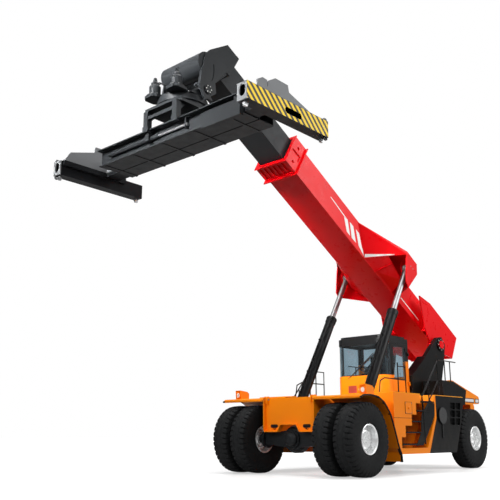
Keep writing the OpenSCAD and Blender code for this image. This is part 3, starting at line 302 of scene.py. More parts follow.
def enamel(name, colour, faded, rough, coat=0.0, dust=0.0, marks=None, shine=0.28):
    """Sprayed two-pack enamel over welded plate: even colour with a slow fade, faint orange peel, and dust low
    down. marks(tree, x, y, z, tone) paints a second colour where a formula of the place says so."""
    m, t, place = begin(name)
    cloud = add(t, "ShaderNodeTexNoise", {"Vector": place, "Scale": 0.8, "Detail": 4})
    fade = add(t, "ShaderNodeMapRange", {"Value": cloud, "From Min": 0.35, "From Max": 0.7})
    tone = add(t, "ShaderNodeMix", {"Factor": fade, "A": rgb(colour), "B": rgb(faded)}, data_type="RGBA")
    x, y, z = add(t, "ShaderNodeSeparateXYZ", {0: place}).outputs
    if marks:
        tone = marks(t, x, y, z, tone)
    if dust:
        # Dust lies thickest 0.3 m over the ground and ends at 1.7 m
        height = add(t, "ShaderNodeMapRange", {"Value": z, "From Min": 0.3, "From Max": 1.7,
                                               "To Min": 1, "To Max": 0})
        cloud = add(t, "ShaderNodeTexNoise", {"Vector": place, "Scale": 3.0, "Detail": 6, "Roughness": 0.65})
        patch = add(t, "ShaderNodeMapRange", {"Value": cloud, "From Min": 0.42, "From Max": 0.75})
        share = add(t, "ShaderNodeMath", {0: height, 1: patch}, operation="MULTIPLY")
        share = add(t, "ShaderNodeMath", {0: share, 1: dust}, operation="MULTIPLY")
        tone = add(t, "ShaderNodeMix", {"Factor": share, "A": tone, "B": rgb("8B8171")}, data_type="RGBA")
    cloud = add(t, "ShaderNodeTexNoise", {"Vector": place, "Scale": 5.0, "Detail": 5, "Roughness": 0.6})
    gloss = add(t, "ShaderNodeMapRange", {"Value": cloud, "From Min": 0.3, "From Max": 0.75,
                                          "To Min": rough - 0.06, "To Max": rough + 0.12})
    # Orange peel is a few millimetres across, drawn at 12 mm so that it shows. The plate waves over 400 mm
    peel = add(t, "ShaderNodeTexNoise", {"Vector": place, "Scale": 80.0, "Detail": 2})
    peel = add(t, "ShaderNodeMath", {0: peel, 1: 0.25}, operation="MULTIPLY")
    plate = add(t, "ShaderNodeTexNoise", {"Vector": place, "Scale": 2.5, "Detail": 2})
    relief = add(t, "ShaderNodeMath", {0: peel, 1: plate}, operation="ADD")
    relief = add(t, "ShaderNodeBump", {"Height": relief, "Distance": 0.0025})
    return coated(m, {"Base Color": tone, "Roughness": gloss, "Specular IOR Level": shine, "Coat Weight": coat,
                      "Coat Roughness": 0.12, "Normal": relief})


def metal(name, colour, rough, metallic=1.0, grain=200.0, depth=0.0004, spread=0.08):
    """Bare or plated metal: a steady colour, with the roughness and fine relief that its making leaves.
    grain counts the relief's bumps in a metre, and depth is their height."""
    m, t, place = begin(name)
    cloud = add(t, "ShaderNodeTexNoise", {"Vector": place, "Scale": 6.0, "Detail": 5})
    stain = add(t, "ShaderNodeMapRange", {"Value": cloud, "From Min": 0.3, "From Max": 0.75})
    tone = add(t, "ShaderNodeMix", {"Factor": stain, "A": rgb(colour), "B": rgb(colour, 0.82)},
               data_type="RGBA")
    cloud = add(t, "ShaderNodeTexNoise", {"Vector": place, "Scale": 14.0, "Detail": 4})
    gloss = add(t, "ShaderNodeMapRange", {"Value": cloud, "From Min": 0.3, "From Max": 0.7,
                                          "To Min": rough, "To Max": rough + spread})
    relief = add(t, "ShaderNodeTexNoise", {"Vector": place, "Scale": grain, "Detail": 3})
    relief = add(t, "ShaderNodeBump", {"Height": relief, "Distance": depth})
    return coated(m, {"Base Color": tone, "Roughness": gloss, "Metallic": metallic, "Specular IOR Level": 0.2,
                      "Normal": relief})


def rubber(name, colour, worn, rough):
    """Moulded rubber: near black and matt, with the dry grey bloom that yard dust gives a running face."""
    m, t, place = begin(name)
    mark = add(t, "ShaderNodeAttribute", attribute_name="wear").outputs["Fac"]
    cloud = add(t, "ShaderNodeTexNoise", {"Vector": place, "Scale": 9.0, "Detail": 5, "Roughness": 0.6})
    patch = add(t, "ShaderNodeMapRange", {"Value": cloud, "From Min": 0.3, "From Max": 0.8,
                                          "To Min": 0.25, "To Max": 1.0})
    share = add(t, "ShaderNodeMath", {0: mark, 1: patch}, operation="MULTIPLY")
    tone = add(t, "ShaderNodeMix", {"Factor": share, "A": rgb(colour), "B": rgb(worn)}, data_type="RGBA")
    cloud = add(t, "ShaderNodeTexNoise", {"Vector": place, "Scale": 20.0, "Detail": 4})
    gloss = add(t, "ShaderNodeMapRange", {"Value": cloud, "From Min": 0.3, "From Max": 0.7,
                                          "To Min": rough - 0.05, "To Max": rough + 0.1})
    relief = add(t, "ShaderNodeTexNoise", {"Vector": place, "Scale": 120.0, "Detail": 3})
    relief = add(t, "ShaderNodeBump", {"Height": relief, "Distance": 0.0015})
    return coated(m, {"Base Color": tone, "Roughness": gloss, "Specular IOR Level": 0.15, "Normal": relief})


def plastic(name, colour, rough):
    """Injection-moulded ABS with a fine spark-eroded grain, drawn at 3 mm so that it shows."""
    m, t, place = begin(name)
    cloud = add(t, "ShaderNodeTexNoise", {"Vector": place, "Scale": 3.0, "Detail": 4})
    fade = add(t, "ShaderNodeMapRange", {"Value": cloud, "From Min": 0.35, "From Max": 0.7})
    tone = add(t, "ShaderNodeMix", {"Factor": fade, "A": rgb(colour), "B": rgb(colour, 0.85)},
               data_type="RGBA")
    cloud = add(t, "ShaderNodeTexNoise", {"Vector": place, "Scale": 25.0, "Detail": 3})
    gloss = add(t, "ShaderNodeMapRange", {"Value": cloud, "From Min": 0.3, "From Max": 0.7,
                                          "To Min": rough - 0.04, "To Max": rough + 0.08})
    relief = add(t, "ShaderNodeTexNoise", {"Vector": place, "Scale": 350.0, "Detail": 2})
    relief = add(t, "ShaderNodeBump", {"Height": relief, "Distance": 0.0006})
    return coated(m, {"Base Color": tone, "Roughness": gloss, "Normal": relief})


def cloth(name, colour, worn):
    """Woven seat cover: two crossed sets of threads with a soft nap. Threads are under 1 mm across, and are
    drawn 25 mm apart so that they show: Wave Texture draws sin(20 scale y), and its scale is 12.5."""
    m, t, place = begin(name)
    warp, weft = [add(t, "ShaderNodeTexWave", {"Vector": place, "Scale": 12.5, "Distortion": 0.6},
                      bands_direction=way).outputs["Fac"] for way in ("Y", "Z")]
    weave = add(t, "ShaderNodeMath", {0: warp, 1: weft}, operation="MULTIPLY")
    share = add(t, "ShaderNodeMapRange", {"Value": weave, "From Min": 0, "From Max": 1,
                                          "To Min": 0.15, "To Max": 0.85})
    tone = add(t, "ShaderNodeMix", {"Factor": share, "A": rgb(colour), "B": rgb(worn)}, data_type="RGBA")
    relief = add(t, "ShaderNodeBump", {"Height": weave, "Distance": 0.0015})
    return coated(m, {"Base Color": tone, "Roughness": 0.85, "Sheen Weight": 0.3, "Normal": relief})


def glazing(name, tint):
    """Laminated safety glass with a green-blue body tint: clear face on, a mirror of the sky at low angles."""
    m, t, place = begin(name)
    cloud = add(t, "ShaderNodeTexNoise", {"Vector": place, "Scale": 1.5, "Detail": 2})
    share = add(t, "ShaderNodeMapRange", {"Value": cloud, "From Min": 0.3, "From Max": 0.7})
    tone = add(t, "ShaderNodeMix", {"Factor": share, "A": rgb(tint), "B": rgb(tint, 0.85)}, data_type="RGBA")
    return coated(m, {"Base Color": tone, "Roughness": 0.02, "Transmission Weight": 1.0, "IOR": 1.45})


def lens(name, colour):
    """Moulded acrylic lens over a reflector: glossy, with upright flutes 52 mm apart, a turn of sin(120 y)."""
    m, t, place = begin(name)
    flute = add(t, "ShaderNodeTexWave", {"Vector": place, "Scale": 6.0}, bands_direction="Y").outputs["Fac"]
    # Painted glints: the lens's colour runs towards white along each flute, by up to 35%
    share = add(t, "ShaderNodeMapRange", {"Value": flute, "From Min": 0, "From Max": 1,
                                          "To Min": 0, "To Max": 0.35})
    tone = add(t, "ShaderNodeMix", {"Factor": share, "A": rgb(colour), "B": rgb("FFFFFF")}, data_type="RGBA")
    relief = add(t, "ShaderNodeBump", {"Height": flute, "Distance": 0.003})
    return coated(m, {"Base Color": tone, "Roughness": 0.12, "Coat Weight": 0.6, "Normal": relief})


def within(t, *ranges):
    """1 where each value lies above its low and below its high, else 0: the product of the tests given."""
    tests = [add(t, "ShaderNodeMath", {0: value, 1: limit}, operation=test) for value, low, high in ranges
             for test, limit in (("GREATER_THAN", low), ("LESS_THAN", high)) if limit is not None]
    share = tests[0]
    for test in tests[1:]:
        share = add(t, "ShaderNodeMath", {0: share, 1: test}, operation="MULTIPLY")
    return share


def end_beam_marks(t, x, y, z, tone):
    """Diagonal stripes on the end beams' outer faces, where frac((x - z) / pitch) < 0.5, and pale gussets."""
    pitch, beam_top, face = 0.178, 7.072, 3.0475
    slope = add(t, "ShaderNodeMath", {0: x, 1: z}, operation="SUBTRACT")
    count = add(t, "ShaderNodeMath", {0: slope, 1: pitch}, operation="DIVIDE")
    part = add(t, "ShaderNodeMath", {0: count}, operation="FRACT")
    stripes = add(t, "ShaderNodeMix", {"Factor": within(t, (part, None, 0.5)), "A": rgb("4A463E"),
                                       "B": rgb("FFD838")}, data_type="RGBA")
    aside = add(t, "ShaderNodeMath", {0: y}, operation="ABSOLUTE")
    for share, paint in ((within(t, (z, beam_top, None)), rgb("77797B")),
                         (within(t, (x, at(5.068, 0, 0)[0], None)), rgb("8C8E90")),
                         (within(t, (aside, face, None), (z, 6.725, 7.066)), stripes)):
        tone = add(t, "ShaderNodeMix", {"Factor": share, "A": tone, "B": paint}, data_type="RGBA")
    return tone


def cab_marks(t, x, y, z, tone):
    """The cab's lower part and its rear pillars' foot are orange: z < 2.44, or z < 2.84 and x < -3.80."""
    rear = within(t, (x, None, at(-3.80, 0, 0)[0]), (z, None, 2.84))
    share = add(t, "ShaderNodeMath", {0: rear, 1: within(t, (z, None, 2.44))}, operation="MAXIMUM")
    return add(t, "ShaderNodeMix", {"Factor": share, "A": tone, "B": rgb("F2860E")}, data_type="RGBA")


def stern_marks(t, x, y, z, tone):
    """A red reflective panel on each upper side of the counterweight, where x, |y| and z lie in its ranges."""
    aside = add(t, "ShaderNodeMath", {0: y}, operation="ABSOLUTE")
    share = within(t, (x, at(-6.52, 0, 0)[0], at(-5.90, 0, 0)[0]), (aside, 1.19, 1.39), (z, 2.0, None))
    return add(t, "ShaderNodeMix", {"Factor": share, "A": tone, "B": rgb("C8190B")}, data_type="RGBA")


ORANGE = enamel("orange_enamel", "FF8C05", "FA8606", 0.34, coat=0.04, dust=0.08, shine=0.20)
# Painted light: the deck takes a lighter, yellower and glossier copy of the orange enamel, so that its upper
# faces look lit from above
ORANGE_PAINTED_TOP_LIGHT = enamel("orange_enamel_painted_top_light", "FFA61E", "FFA01A", 0.24, coat=0.10)
STERN = enamel("orange_enamel_stern", "FF8C05", "FA8606", 0.34, coat=0.04, dust=0.06, marks=stern_marks)
BLACK = enamel("graphite_enamel", "0D0E0F", "111213", 0.34, coat=0.03, dust=0.05, shine=0.10)
CAB_BLACK = enamel("graphite_enamel_cab", "101112", "141516", 0.34, coat=0.03, marks=cab_marks, shine=0.16)
GREY = enamel("dark_grey_enamel", "242628", "292B2D", 0.38, coat=0.03, shine=0.08)
BEAMS = enamel("dark_grey_enamel_end_beams", "18191B", "1C1D1F", 0.40, coat=0.02, marks=end_beam_marks,
               shine=0.08)
RED = enamel("signal_red_enamel", "EE0712", "E60610", 0.30, coat=0.03, shine=0.13)
BRIGHT = enamel("white_film", "F2F2F0", "ECECEA", 0.40, coat=0.02)
CASTING = metal("painted_cast_iron", "222426", 0.46, metallic=0.30, grain=45.0, depth=0.003)
SILVER = metal("wheel_silver_enamel", "F0F1F1", 0.26, metallic=0.70, grain=90.0, depth=0.0006)
CHROME = metal("hard_chrome", "9FA0A2", 0.40, grain=500.0, depth=0.00002, spread=0.04)
FORGED = metal("forged_steel", "B4B5B6", 0.34)
ZINC = metal("zinc_plated_steel", "A9AAA6", 0.34)
TREAD = rubber("tyre_rubber", "0E0F10", "2A2B2C", 0.72)
FLAP = rubber("moulded_epdm_rubber", "121314", "1A1B1C", 0.60)
PLASTIC = plastic("moulded_black_abs", "17181A", 0.48)
REFLECTOR = plastic("moulded_red_reflector", "A83A30", 0.30)
SEAT = cloth("woven_seat_cover", "1E2023", "4A4D52")
GLASS = glazing("tinted_safety_glass", "D8EAF3")
LENS = lens("clear_acrylic_lens", "E9ECEE")
AMBER = lens("amber_acrylic_lens", "E8A10C")

# The CAD nodes that keep their shape take the finish of the real piece
finishes = {
    ORANGE: ["frame", "front_fenders", "side_bodies", "cab_shell"],
    ORANGE_PAINTED_TOP_LIGHT: ["deck"],
    STERN: ["counterweight"],
    BLACK: ["engine_hood", "boom_towers", "rear_skirts", "steps_and_rails", "barrel_left", "barrel_right"],
    CAB_BLACK: ["cab_roof", "cab_door"],
    GREY: ["boom_inner", "boom_head", "yoke", "turntable", "spreader_frame"],
    BEAMS: ["arm_left", "arm_right"],
    RED: ["boom_outer"],
    CASTING: ["drive_axle", "driveline", "steer_axle", "engine", "knuckle_left", "knuckle_right"],
    CHROME: ["rod_left", "rod_right", "shift_rod"],
    FORGED: ["twistlock_front_left", "twistlock_rear_left", "twistlock_front_right", "twistlock_rear_right"],
    GLASS: ["cab_glass", "door_glass"],
    LENS: ["lamps"],
    PLASTIC: ["mirrors", "cab_interior"],
    SILVER: ["front_rims_left", "front_rims_right", "rear_rim_left", "rear_rim_right"],
    TREAD: ["front_tyres_left", "front_tyres_right", "rear_tyre_left", "rear_tyre_right"],
}
for finish, names in finishes.items():
    for name in names:
        mesh = nodes[name].data
        mesh.materials.clear()
        mesh.materials.append(finish)


# Wheels

TYRE_R, RUNNING_HALF, TREAD_DEPTH = 0.8075, 0.190, 0.030
LUGS, STEPS_A_LUG = 40, 12
TWIN_Y, TWIN_APART, REAR_Y = 1.515, 0.570, 1.390


def tyre(centre):
    """Tyre: a section (across, radius) from bead to bead turned round the axle, less a tread pattern of depth.
    Returns its surface, and how much each corner runs on the road."""
    side = np.array([[0.186, 0.318], [0.212, 0.345], [0.226, 0.372], [0.240, 0.430], [0.248, 0.500],
                     [0.249, 0.570], [0.244, 0.640], [0.236, 0.690], [0.226, 0.735], [0.219, 0.757],
                     [0.210, 0.778], [0.200, 0.791], [0.190, 0.7975]])
    face = np.linspace(-RUNNING_HALF, RUNNING_HALF, 29)[1:-1]
    crown = np.stack([face, TYRE_R - 0.010 * (face / RUNNING_HALF) ** 2], 1)
    w, r = np.concatenate([side * [-1, 1], crown, side[::-1]]).T
    lug = np.linspace(0, 1, LUGS * STEPS_A_LUG, endpoint=False)[:, None] * LUGS
    # Shoulder notches: a slot at each lug that runs in from the edge and leans with the tread
    lean = lug + np.where(w > 0, 0.5, 0) + 1.2 * (np.abs(w) - RUNNING_HALF)
    slot = np.clip(6.0 * (0.17 - np.abs(lean % 1 - 0.5)), 0, 1)
    edge = np.clip((np.abs(w) - 0.112) / 0.012, 0, 1) * np.clip((r - 0.700) / 0.04, 0, 1)
    # Two zigzag grooves, and a row of short sipes beside each
    zigzag = 0.058 + 0.010 * np.abs((lug * 2) % 2 - 1)
    groove = np.clip(1.6 - np.abs(np.abs(w) - zigzag) / 0.005, 0, 1)
    sipe_row = np.clip(1.5 - np.abs(np.abs(w) - 0.092) / 0.008, 0, 1)
    sipe = sipe_row * np.clip(5 * (0.13 - np.abs((lug + 0.25) % 1 - 0.5)), 0, 1)
    depth = TREAD_DEPTH * np.maximum(slot * edge, np.maximum(0.3 * groove, 0.6 * sipe) * (np.abs(w) < 0.11))
    # Fine rings moulded into the wall, 22 mm apart
    rings = 0.0012 * np.sin(2 * math.pi * r / 0.022) * ((r > 0.40) & (r < 0.66))
    a = lug / LUGS * 2 * math.pi
    radius = r - depth
    y = w + np.sign(w) * rings - np.sign(w) * 0.35 * depth * (r > 0.70) * (np.abs(w) > RUNNING_HALF)
    p = np.asarray(centre) + np.stack([radius * np.cos(a), y * np.ones_like(a), radius * np.sin(a)], -1)
    worn = np.clip((r - 0.76) / 0.03, 0, 1) * (1 - np.clip(depth / 0.012, 0, 1)) + 0.15 * (r < 0.76)
    return (p.reshape(-1, 3), [lattice(len(a), len(w), True, True)]), (worn * np.ones_like(a)).ravel()


def wheel(centre, out, dish, drum, height, bolts):
    """Rim of an earthmover wheel: flange, well and dished disc as one closed profile of (along, radius) turned
    round the axle, with its hub and studs. out is the side it faces, dish how far the disc lies in from the
    rim's edge, and the hub's drum of the given radius stands height out of the disc."""
    half, bead, well, disc = 0.200, 0.3197, 0.277, 0.268
    face = half - dish
    end = face + height
    bore = max(drum, 0.165) + 0.002
    rim = [(-half, bead), (half - 0.010, bead), (half + 0.012, 0.328), (half + 0.022, 0.330),
           (half + 0.026, 0.322), (half + 0.022, 0.302), (half + 0.006, 0.292), (half - 0.3 * dish, 0.286),
           (half - 0.8 * dish, 0.280), (face, disc), (face - 0.004, bore), (face - 0.030, bore),
           (face - 0.030, disc), (face - 0.020, well), (-half, well)]
    hub = [(face - 0.028, 0.02), (face - 0.028, drum), (end - 0.045, drum - 0.004),
           (end - 0.020, drum - 0.014), (end - 0.004, drum - 0.034), (end, drum - 0.060), (end - 0.002, 0.075),
           (end + 0.012, 0.068), (end + 0.014, 0.02)]
    shells = [turned(np.array(profile) * [out, 1], centre, n=96) for profile in (rim, hub)]
    wheel_studs = (drum + 0.266) / 2 if drum > 0.2 else 0.215
    for along, ring, count, size, tall in ((face - 0.002, wheel_studs, bolts, 0.030, 0.040),
                                           (end - 0.002, 0.55 * drum, 10, 0.022, 0.012)):
        shells.append(studs(ring_of(centre + [0, out * along, 0], ring, count), (0, out, 0), size, tall))
    shells.append(studs([centre + [0, out * (end + 0.010), 0]], (0, out, 0), 0.050, 0.018))
    return shells


for side, s in (("left", 1), ("right", -1)):
    inner, outer = [np.array([DRIVE[0], s * (TWIN_Y + k * TWIN_APART / 2), AXLE_Z]) for k in (-1, 1)]
    made = [tyre(inner), tyre(outer)]
    piece = put("tread_front_" + side, [m[0] for m in made], TREAD, "front_wheels_" + side,
                wear=np.concatenate([m[1] for m in made]))
    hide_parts("front_tyres_" + side)
    piece = put("wheel_front_" + side,
                wheel(outer, s, 0.120, 0.225, 0.045, 24) + wheel(inner, -s, 0.150, 0.178, 0.060, 20),
                SILVER, "front_wheels_" + side)
    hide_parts("front_rims_" + side)
    rear = np.array([STEER[0], s * REAR_Y, AXLE_Z])
    shell, worn = tyre(rear)
    piece = put("tread_rear_" + side, [shell], TREAD, "rear_wheel_" + side, wear=worn)
    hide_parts("rear_tyre_" + side)
    piece = put("wheel_rear_" + side, wheel(rear, s, 0.110, 0.150, 0.075, 20), SILVER, "rear_wheel_" + side)
    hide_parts("rear_rim_" + side)


# Boom

PIVOT_X, PIVOT_Z = -5.650, 3.450
TILT = math.radians(29.7)
ALONG = np.array([math.cos(TILT), 0, math.sin(TILT)])
SQUARE = np.array([-math.sin(TILT), 0, math.cos(TILT)])
SIDE_Y, FLOOR_END_Y = 0.438, 0.842


def boom(a, y, b):
    """A point a along the boom from its pivot and b square to it, y from the middle plane."""
    return at(PIVOT_X, y, PIVOT_Z) + a * ALONG + b * SQUARE


# White film on the boom's sides: three leaning bars, the line that leads to them, and one along the root
bars = [[(5.051, 0.675), (4.888, 0.719), (4.596, 0.389), (4.769, 0.393)],
        [(4.781, 0.735), (4.600, 0.735), (4.290, 0.400), (4.514, 0.392)],
        [(4.469, 0.744), (4.300, 0.744), (4.015, 0.477), (3.850, 0.400), (3.790, 0.300), (3.880, 0.330),
         (4.161, 0.412)],
        [(5.760, 0.735), (5.760, 0.762), (4.888, 0.719), (5.051, 0.690)],
        [(1.802, 0.428), (1.790, 0.462), (0.700, 0.462), (0.700, 0.428)]]
sheets = [film([boom(a, SIDE_Y + 0.0022, b) for a, b in bar], np.array([0, 0.0015, 0])) for bar in bars]
# A tapering bar up the shoulder's fold, given as (share of the fold, height over it)
fold = boom(3.780, SIDE_Y, 0.280)
run = boom(2.990, 1.172, 0.930) - fold
rise = unit(boom(4.450, SIDE_Y, 1.000) - fold)
out = boom(0.009, 0.016, -0.008) - boom(0, 0, 0)
taper = [(0.0, 0.020), (0.70, 0.012), (0.70, 0.034), (0.02, 0.110)]
sheets.append(film([fold + share * run + height * rise + 1.02 * out for share, height in taper], 0.08 * out))
put("boom_white_film", both(sheets), BRIGHT, "boom")

# Plates that close the shoulders from below, from the boom's lower edge towards the rod's lugs, with a rib
boom_edge = [(3.775, 0.280), (3.200, 0.270), (2.240, 0.262)]
lug_edge = [(3.340, 0.640), (3.080, 0.600), (2.480, 0.460)]
near = [boom(a, SIDE_Y, b) for a, b in boom_edge]
far = [boom(a, FLOOR_END_Y, b) for a, b in lug_edge]
plates = [film([near[k], far[k], far[k + 1], near[k + 1]], 0.010 * SQUARE) for k in range(2)]
rib = [boom(3.210, SIDE_Y, 0.225), boom(3.090, FLOOR_END_Y, 0.560), boom(3.080, FLOOR_END_Y, 0.606),
       boom(3.200, SIDE_Y, 0.276)]
plates.append(film(rib, 0.014 * ALONG))
put("shoulder_floors", both(plates), RED, "boom")

# Hexagon heads: the wear pads' adjusters on top, and the shoulders' pin keepers
heads = [studs([boom(a, y, 1.022) for a in (7.30, 7.50) for y in (-0.28, 0.28)], SQUARE, 0.040, 0.016)]
heads += both([studs([boom(a, 1.176, 0.740) for a in (2.575, 2.695)], (0, 1, 0), 0.030, 0.012)])
put("boom_bolts", heads, ZINC, "boom")


# Lift cylinders

# Gland flange, bolts and wiper at the mouth of each barrel, on the line from the foot pin to the eye
foot, eye = at(-1.200, 1.000, 1.350), at(-3.7278, 1.000, 5.3983)
lean = unit(eye - foot)
mouth = foot + 3.240 * lean
flange = turned([(-0.150, 0.1360), (-0.150, 0.1465), (-0.050, 0.1465), (-0.046, 0.1500), (-0.004, 0.1500),
                 (0.002, 0.1460), (0.002, 0.1360)], mouth, lean, 48)
wiper_seal = turned([(0.0005, 0.0785), (0.0005, 0.098), (0.010, 0.094), (0.012, 0.0785)], mouth, lean, 40)
bolts = studs(ring_of(mouth + 0.002 * lean, 0.122, 12, lean), lean, 0.026, 0.014)
for side in ("left", "right"):
    for name, shell, finish, slot in (("gland_flange_", flange, BLACK, "black_paint"),
                                      ("gland_bolts_", bolts, ZINC, "lock_steel"),
                                      ("rod_seal_", wiper_seal, FLAP, "trim_plastic")):
        put(name + side, [mirrored(shell) if side == "right" else shell], finish, "cylinder_" + side)


# Yoke and turntable

UP = (0, 0, 1)
RING = np.array([SLEW[0], 0, 7.800])
MOTOR_X, MOTOR_Y = 0.510, 0.350
put("slew_ring_bolts", [studs(ring_of(RING + [0, 0, 0.258], 0.500, 28, UP), UP, 0.036, 0.022)], ZINC, "yoke")
motors, hoses = [], []
for s in (-1, 1):
    motor = RING + [MOTOR_X, s * MOTOR_Y, 0.260]
    motors += [studs(ring_of(motor + [0, 0, 0.052], 0.158, 8, UP, 0.39), UP, 0.030, 0.022),
               studs(ring_of(motor + [0, 0, 0.268], 0.104, 6, UP), UP, 0.022, 0.014)]
    # A pair of hoses from each motor's top, over its side and down to the yoke's plate
    for k in (-1, 1):
        start = motor + [0.03 * k, -s * 0.080, 0.320]
        hoses.append(tube([start, start + [0, -s * 0.10, 0.01], start + [-0.10, -s * 0.16, -0.06],
                           RING + [0.250 + 0.05 * k, s * 0.10, 0.290],
                           RING + [0.200 + 0.05 * k, s * 0.08, 0.262]],
                          0.014, 0.05, (0.2, 0.1, 1)))
put("motor_bolts", motors, ZINC, "yoke")
put("motor_hoses", hoses, FLAP, "yoke")
keeper = at(3.7296, 0.667, 8.2003)
keeper_bolts = studs(ring_of(keeper, 0.075, 6), (0, 1, 0), 0.030, 0.014)
put("head_pin_bolts", both([keeper_bolts]), ZINC, "boom_extension")


# Body

# Rubber lips that run along the outer edge of the front fenders and hang as flaps behind the wheels
lip = [(0.345, 1.712), (0.300, 1.745), (0.0, 1.760), (-0.320, 1.728), (-0.560, 1.605), (-0.790, 1.365),
       (-0.945, 1.005), (-1.100, 0.612), (-1.190, 0.480), (-1.205, 0.300)]
lip_section = [(-0.012, -0.030), (0.014, -0.030), (0.018, -0.012), (0.018, 0.026), (0.008, 0.040),
               (-0.012, 0.034)]
lip_path = eased([at(x, 2.062, z) for x, z in lip], 0.08)
put("fender_lips", both([swept(lip_section, lip_path, (0, 1, 0))]), FLAP, "chassis")
flap = [at(*c) for c in ((-1.165, 1.50, 0.52), (-1.165, 2.050, 0.52), (-1.190, 2.050, 0.31),
                         (-1.190, 1.50, 0.31))]
put("fender_tails", both([film(flap, np.array([-0.010, 0, -0.002]))]), ORANGE, "chassis")

# Ridged treads: raised bars across each step, which is given as (rear, front, top) from the stairs' own zero
STAIR_X, RIDGES = -0.9975, 9
ridges = []
for lo, hi, z in ((-1.000, -0.290, 0.700), (-1.240, -0.480, 0.970), (-1.440, -0.780, 1.225),
                  (-1.660, -1.010, 1.480), (-1.880, -1.230, 1.700)):
    for k in range(RIDGES):
        x = STAIR_X + lo + 0.03 + (hi - lo - 0.06) * k / (RIDGES - 1)
        ridges.append(block(at(x - 0.006, 1.660, z - 0.001), at(x + 0.006, 2.060, z + 0.005), 0.001))
put("step_ridges", both(ridges), BLACK, "chassis")

# Service panel with a turn latch and four screws, ahead of the stairs
latch = [(0, 0.002), (0.018, 0.002), (0.020, 0.024), (0.010, 0.030), (0, 0.030)]
panel = [block(at(-1.800, 2.046, 1.390), at(-1.500, 2.058, 1.650)),
         turned(latch, at(-1.650, 2.057, 1.520), n=24)]
put("service_panels", both(panel), ORANGE, "chassis")
screws = [at(x, 2.057, z) for x in (-1.780, -1.520) for z in (1.410, 1.630)]
put("panel_screws", both([studs(screws, (0, 1, 0), 0.020, 0.006)]), ZINC, "chassis")

# A seam low on the body's side and four round the service panel, each as (x, z, length, height, outer face)
SEAM_Y = 2.0490
seams = [block(at(x, SEAM_Y, z), at(x + w, y, z + h), 0.001) for x, z, w, h, y in (
    (-1.900, 1.280, 0.940, 0.008, 2.0512), (-1.806, 1.384, 0.006, 0.272, 2.0594),
    (-1.500, 1.384, 0.006, 0.272, 2.0594), (-1.806, 1.384, 0.306, 0.006, 2.0594),
    (-1.806, 1.650, 0.312, 0.006, 2.0594))]
put("body_seams", both(seams), FLAP, "chassis")

# Stringer plate that carries the outer ends of the stairs, under the handrails
stringer = [at(x, 2.040, z) for x, z in ((-2.689, 1.742), (-3.059, 1.598), (-2.784, 1.221), (-2.279, 0.665),
                                         (-1.946, 0.654), (-2.192, 0.961), (-2.255, 1.380))]
put("stair_stringers", both([film(stringer, np.array([0, 0.008, 0]))]), BLACK, "chassis")

# Painted shade for the slots near the lower corners of the nose plate: a thin dark rubber sheet on the plate
# in the outline of each slot, a circle drawn apart by 150 mm
hole = circle(0.040, 24)
hole[:, 0] += np.where(hole[:, 0] > 0, 0.075, -0.075)
put("nose_slots_painted_shade", both([slab(hole, 0.0015, at(0.2502, 0.490, 1.102), (0, 1, 0), (0, 0, 1))]), FLAP, "chassis")

# Bezels round the stern's side lamps, and the front lamps' rims
bezels = []
for lo, hi in ((-6.430, -5.890), (-6.735, -6.540)):
    outline = [(lo - 0.012, 1.808), (hi + 0.012, 1.808), (hi + 0.012, 1.912), (lo - 0.012, 1.912)]
    bezels.append(swept(circle(0.010, 8), [at(x, 1.424, z) for x, z in outline], (0, 1, 0), closed=True))
put("lamp_bezels", both(bezels), PLASTIC, "chassis")
lamp_rim = turned([(-0.006, 0.056), (0.016, 0.058), (0.020, 0.066), (0.014, 0.074), (-0.006, 0.074)],
                  at(0.012, 1.890, 1.880), "x", 40)
put("front_lamp_rims", both([lamp_rim]), ORANGE, "chassis")

# Frame ear pins with their heads, and the bolts of the towers and of the axle's cover
ear_pin = turned([(0.640, 0.0), (0.640, 0.024), (0.775, 0.024), (0.775, 0.040), (0.795, 0.040), (0.800, 0.030),
                  (0.800, 0.0)], at(0.265, 0, 1.727), n=32)
put("ear_pins", both([ear_pin]), FORGED, "chassis")
tower_ring = ring_of(at(PIVOT_X, 0.914, PIVOT_Z), 0.150, 8)
put("tower_bolts", both([studs(tower_ring, (0, 1, 0), 0.040, 0.018)]), ZINC, "chassis")
cover_ring = ring_of(at(0.212, 0, AXLE_Z), 0.205, 12, (1, 0, 0))
put("axle_cover_bolts", [studs(cover_ring, (1, 0, 0), 0.032, 0.018)], CASTING, "chassis")


# Cab

# Two wipers: an arm from its foot to its tip, given as (y, z), and a blade that lies 12 mm behind it
ARM_X = -2.742
wipers = []
for start, end in (((-0.382, 2.370), (0.365, 2.939)), ((-0.332, 2.394), (0.459, 2.959))):
    arm_foot, arm_tip = at(ARM_X, *start), at(ARM_X, *end)
    arm = arm_tip - arm_foot
    blade = [arm_foot + 0.42 * arm + [-0.012, 0, 0.02], arm_tip + 0.10 * unit(arm) + [-0.012, 0, 0.02]]
    wipers += [tube([arm_foot, arm_tip], 0.009, n=8), tube(blade, 0.012, n=8)]
put("wipers", wipers, PLASTIC, "chassis")

# Rubber seal round the windscreen, and the reflector and the marker lamp under it
seals = [block(at(-2.758, y - 0.012, 2.455), at(-2.746, y + 0.012, 3.255)) for y in (-0.530, 0.530)]
seals += [block(at(-2.758, -0.530, z - 0.010), at(-2.746, 0.530, z + 0.010)) for z in (2.452, 3.258)]
put("window_seals", seals, FLAP, "chassis")
put("cab_reflector", [block(at(-2.752, -0.389, 1.990), at(-2.744, -0.124, 2.180))], REFLECTOR, "chassis")
marker = turned([(0, 0.002), (0, 0.034), (0.030, 0.030), (0.036, 0.002)], at(-2.748, -0.039, 2.074), "x", 24)
put("cab_marker", [marker], AMBER, "chassis")

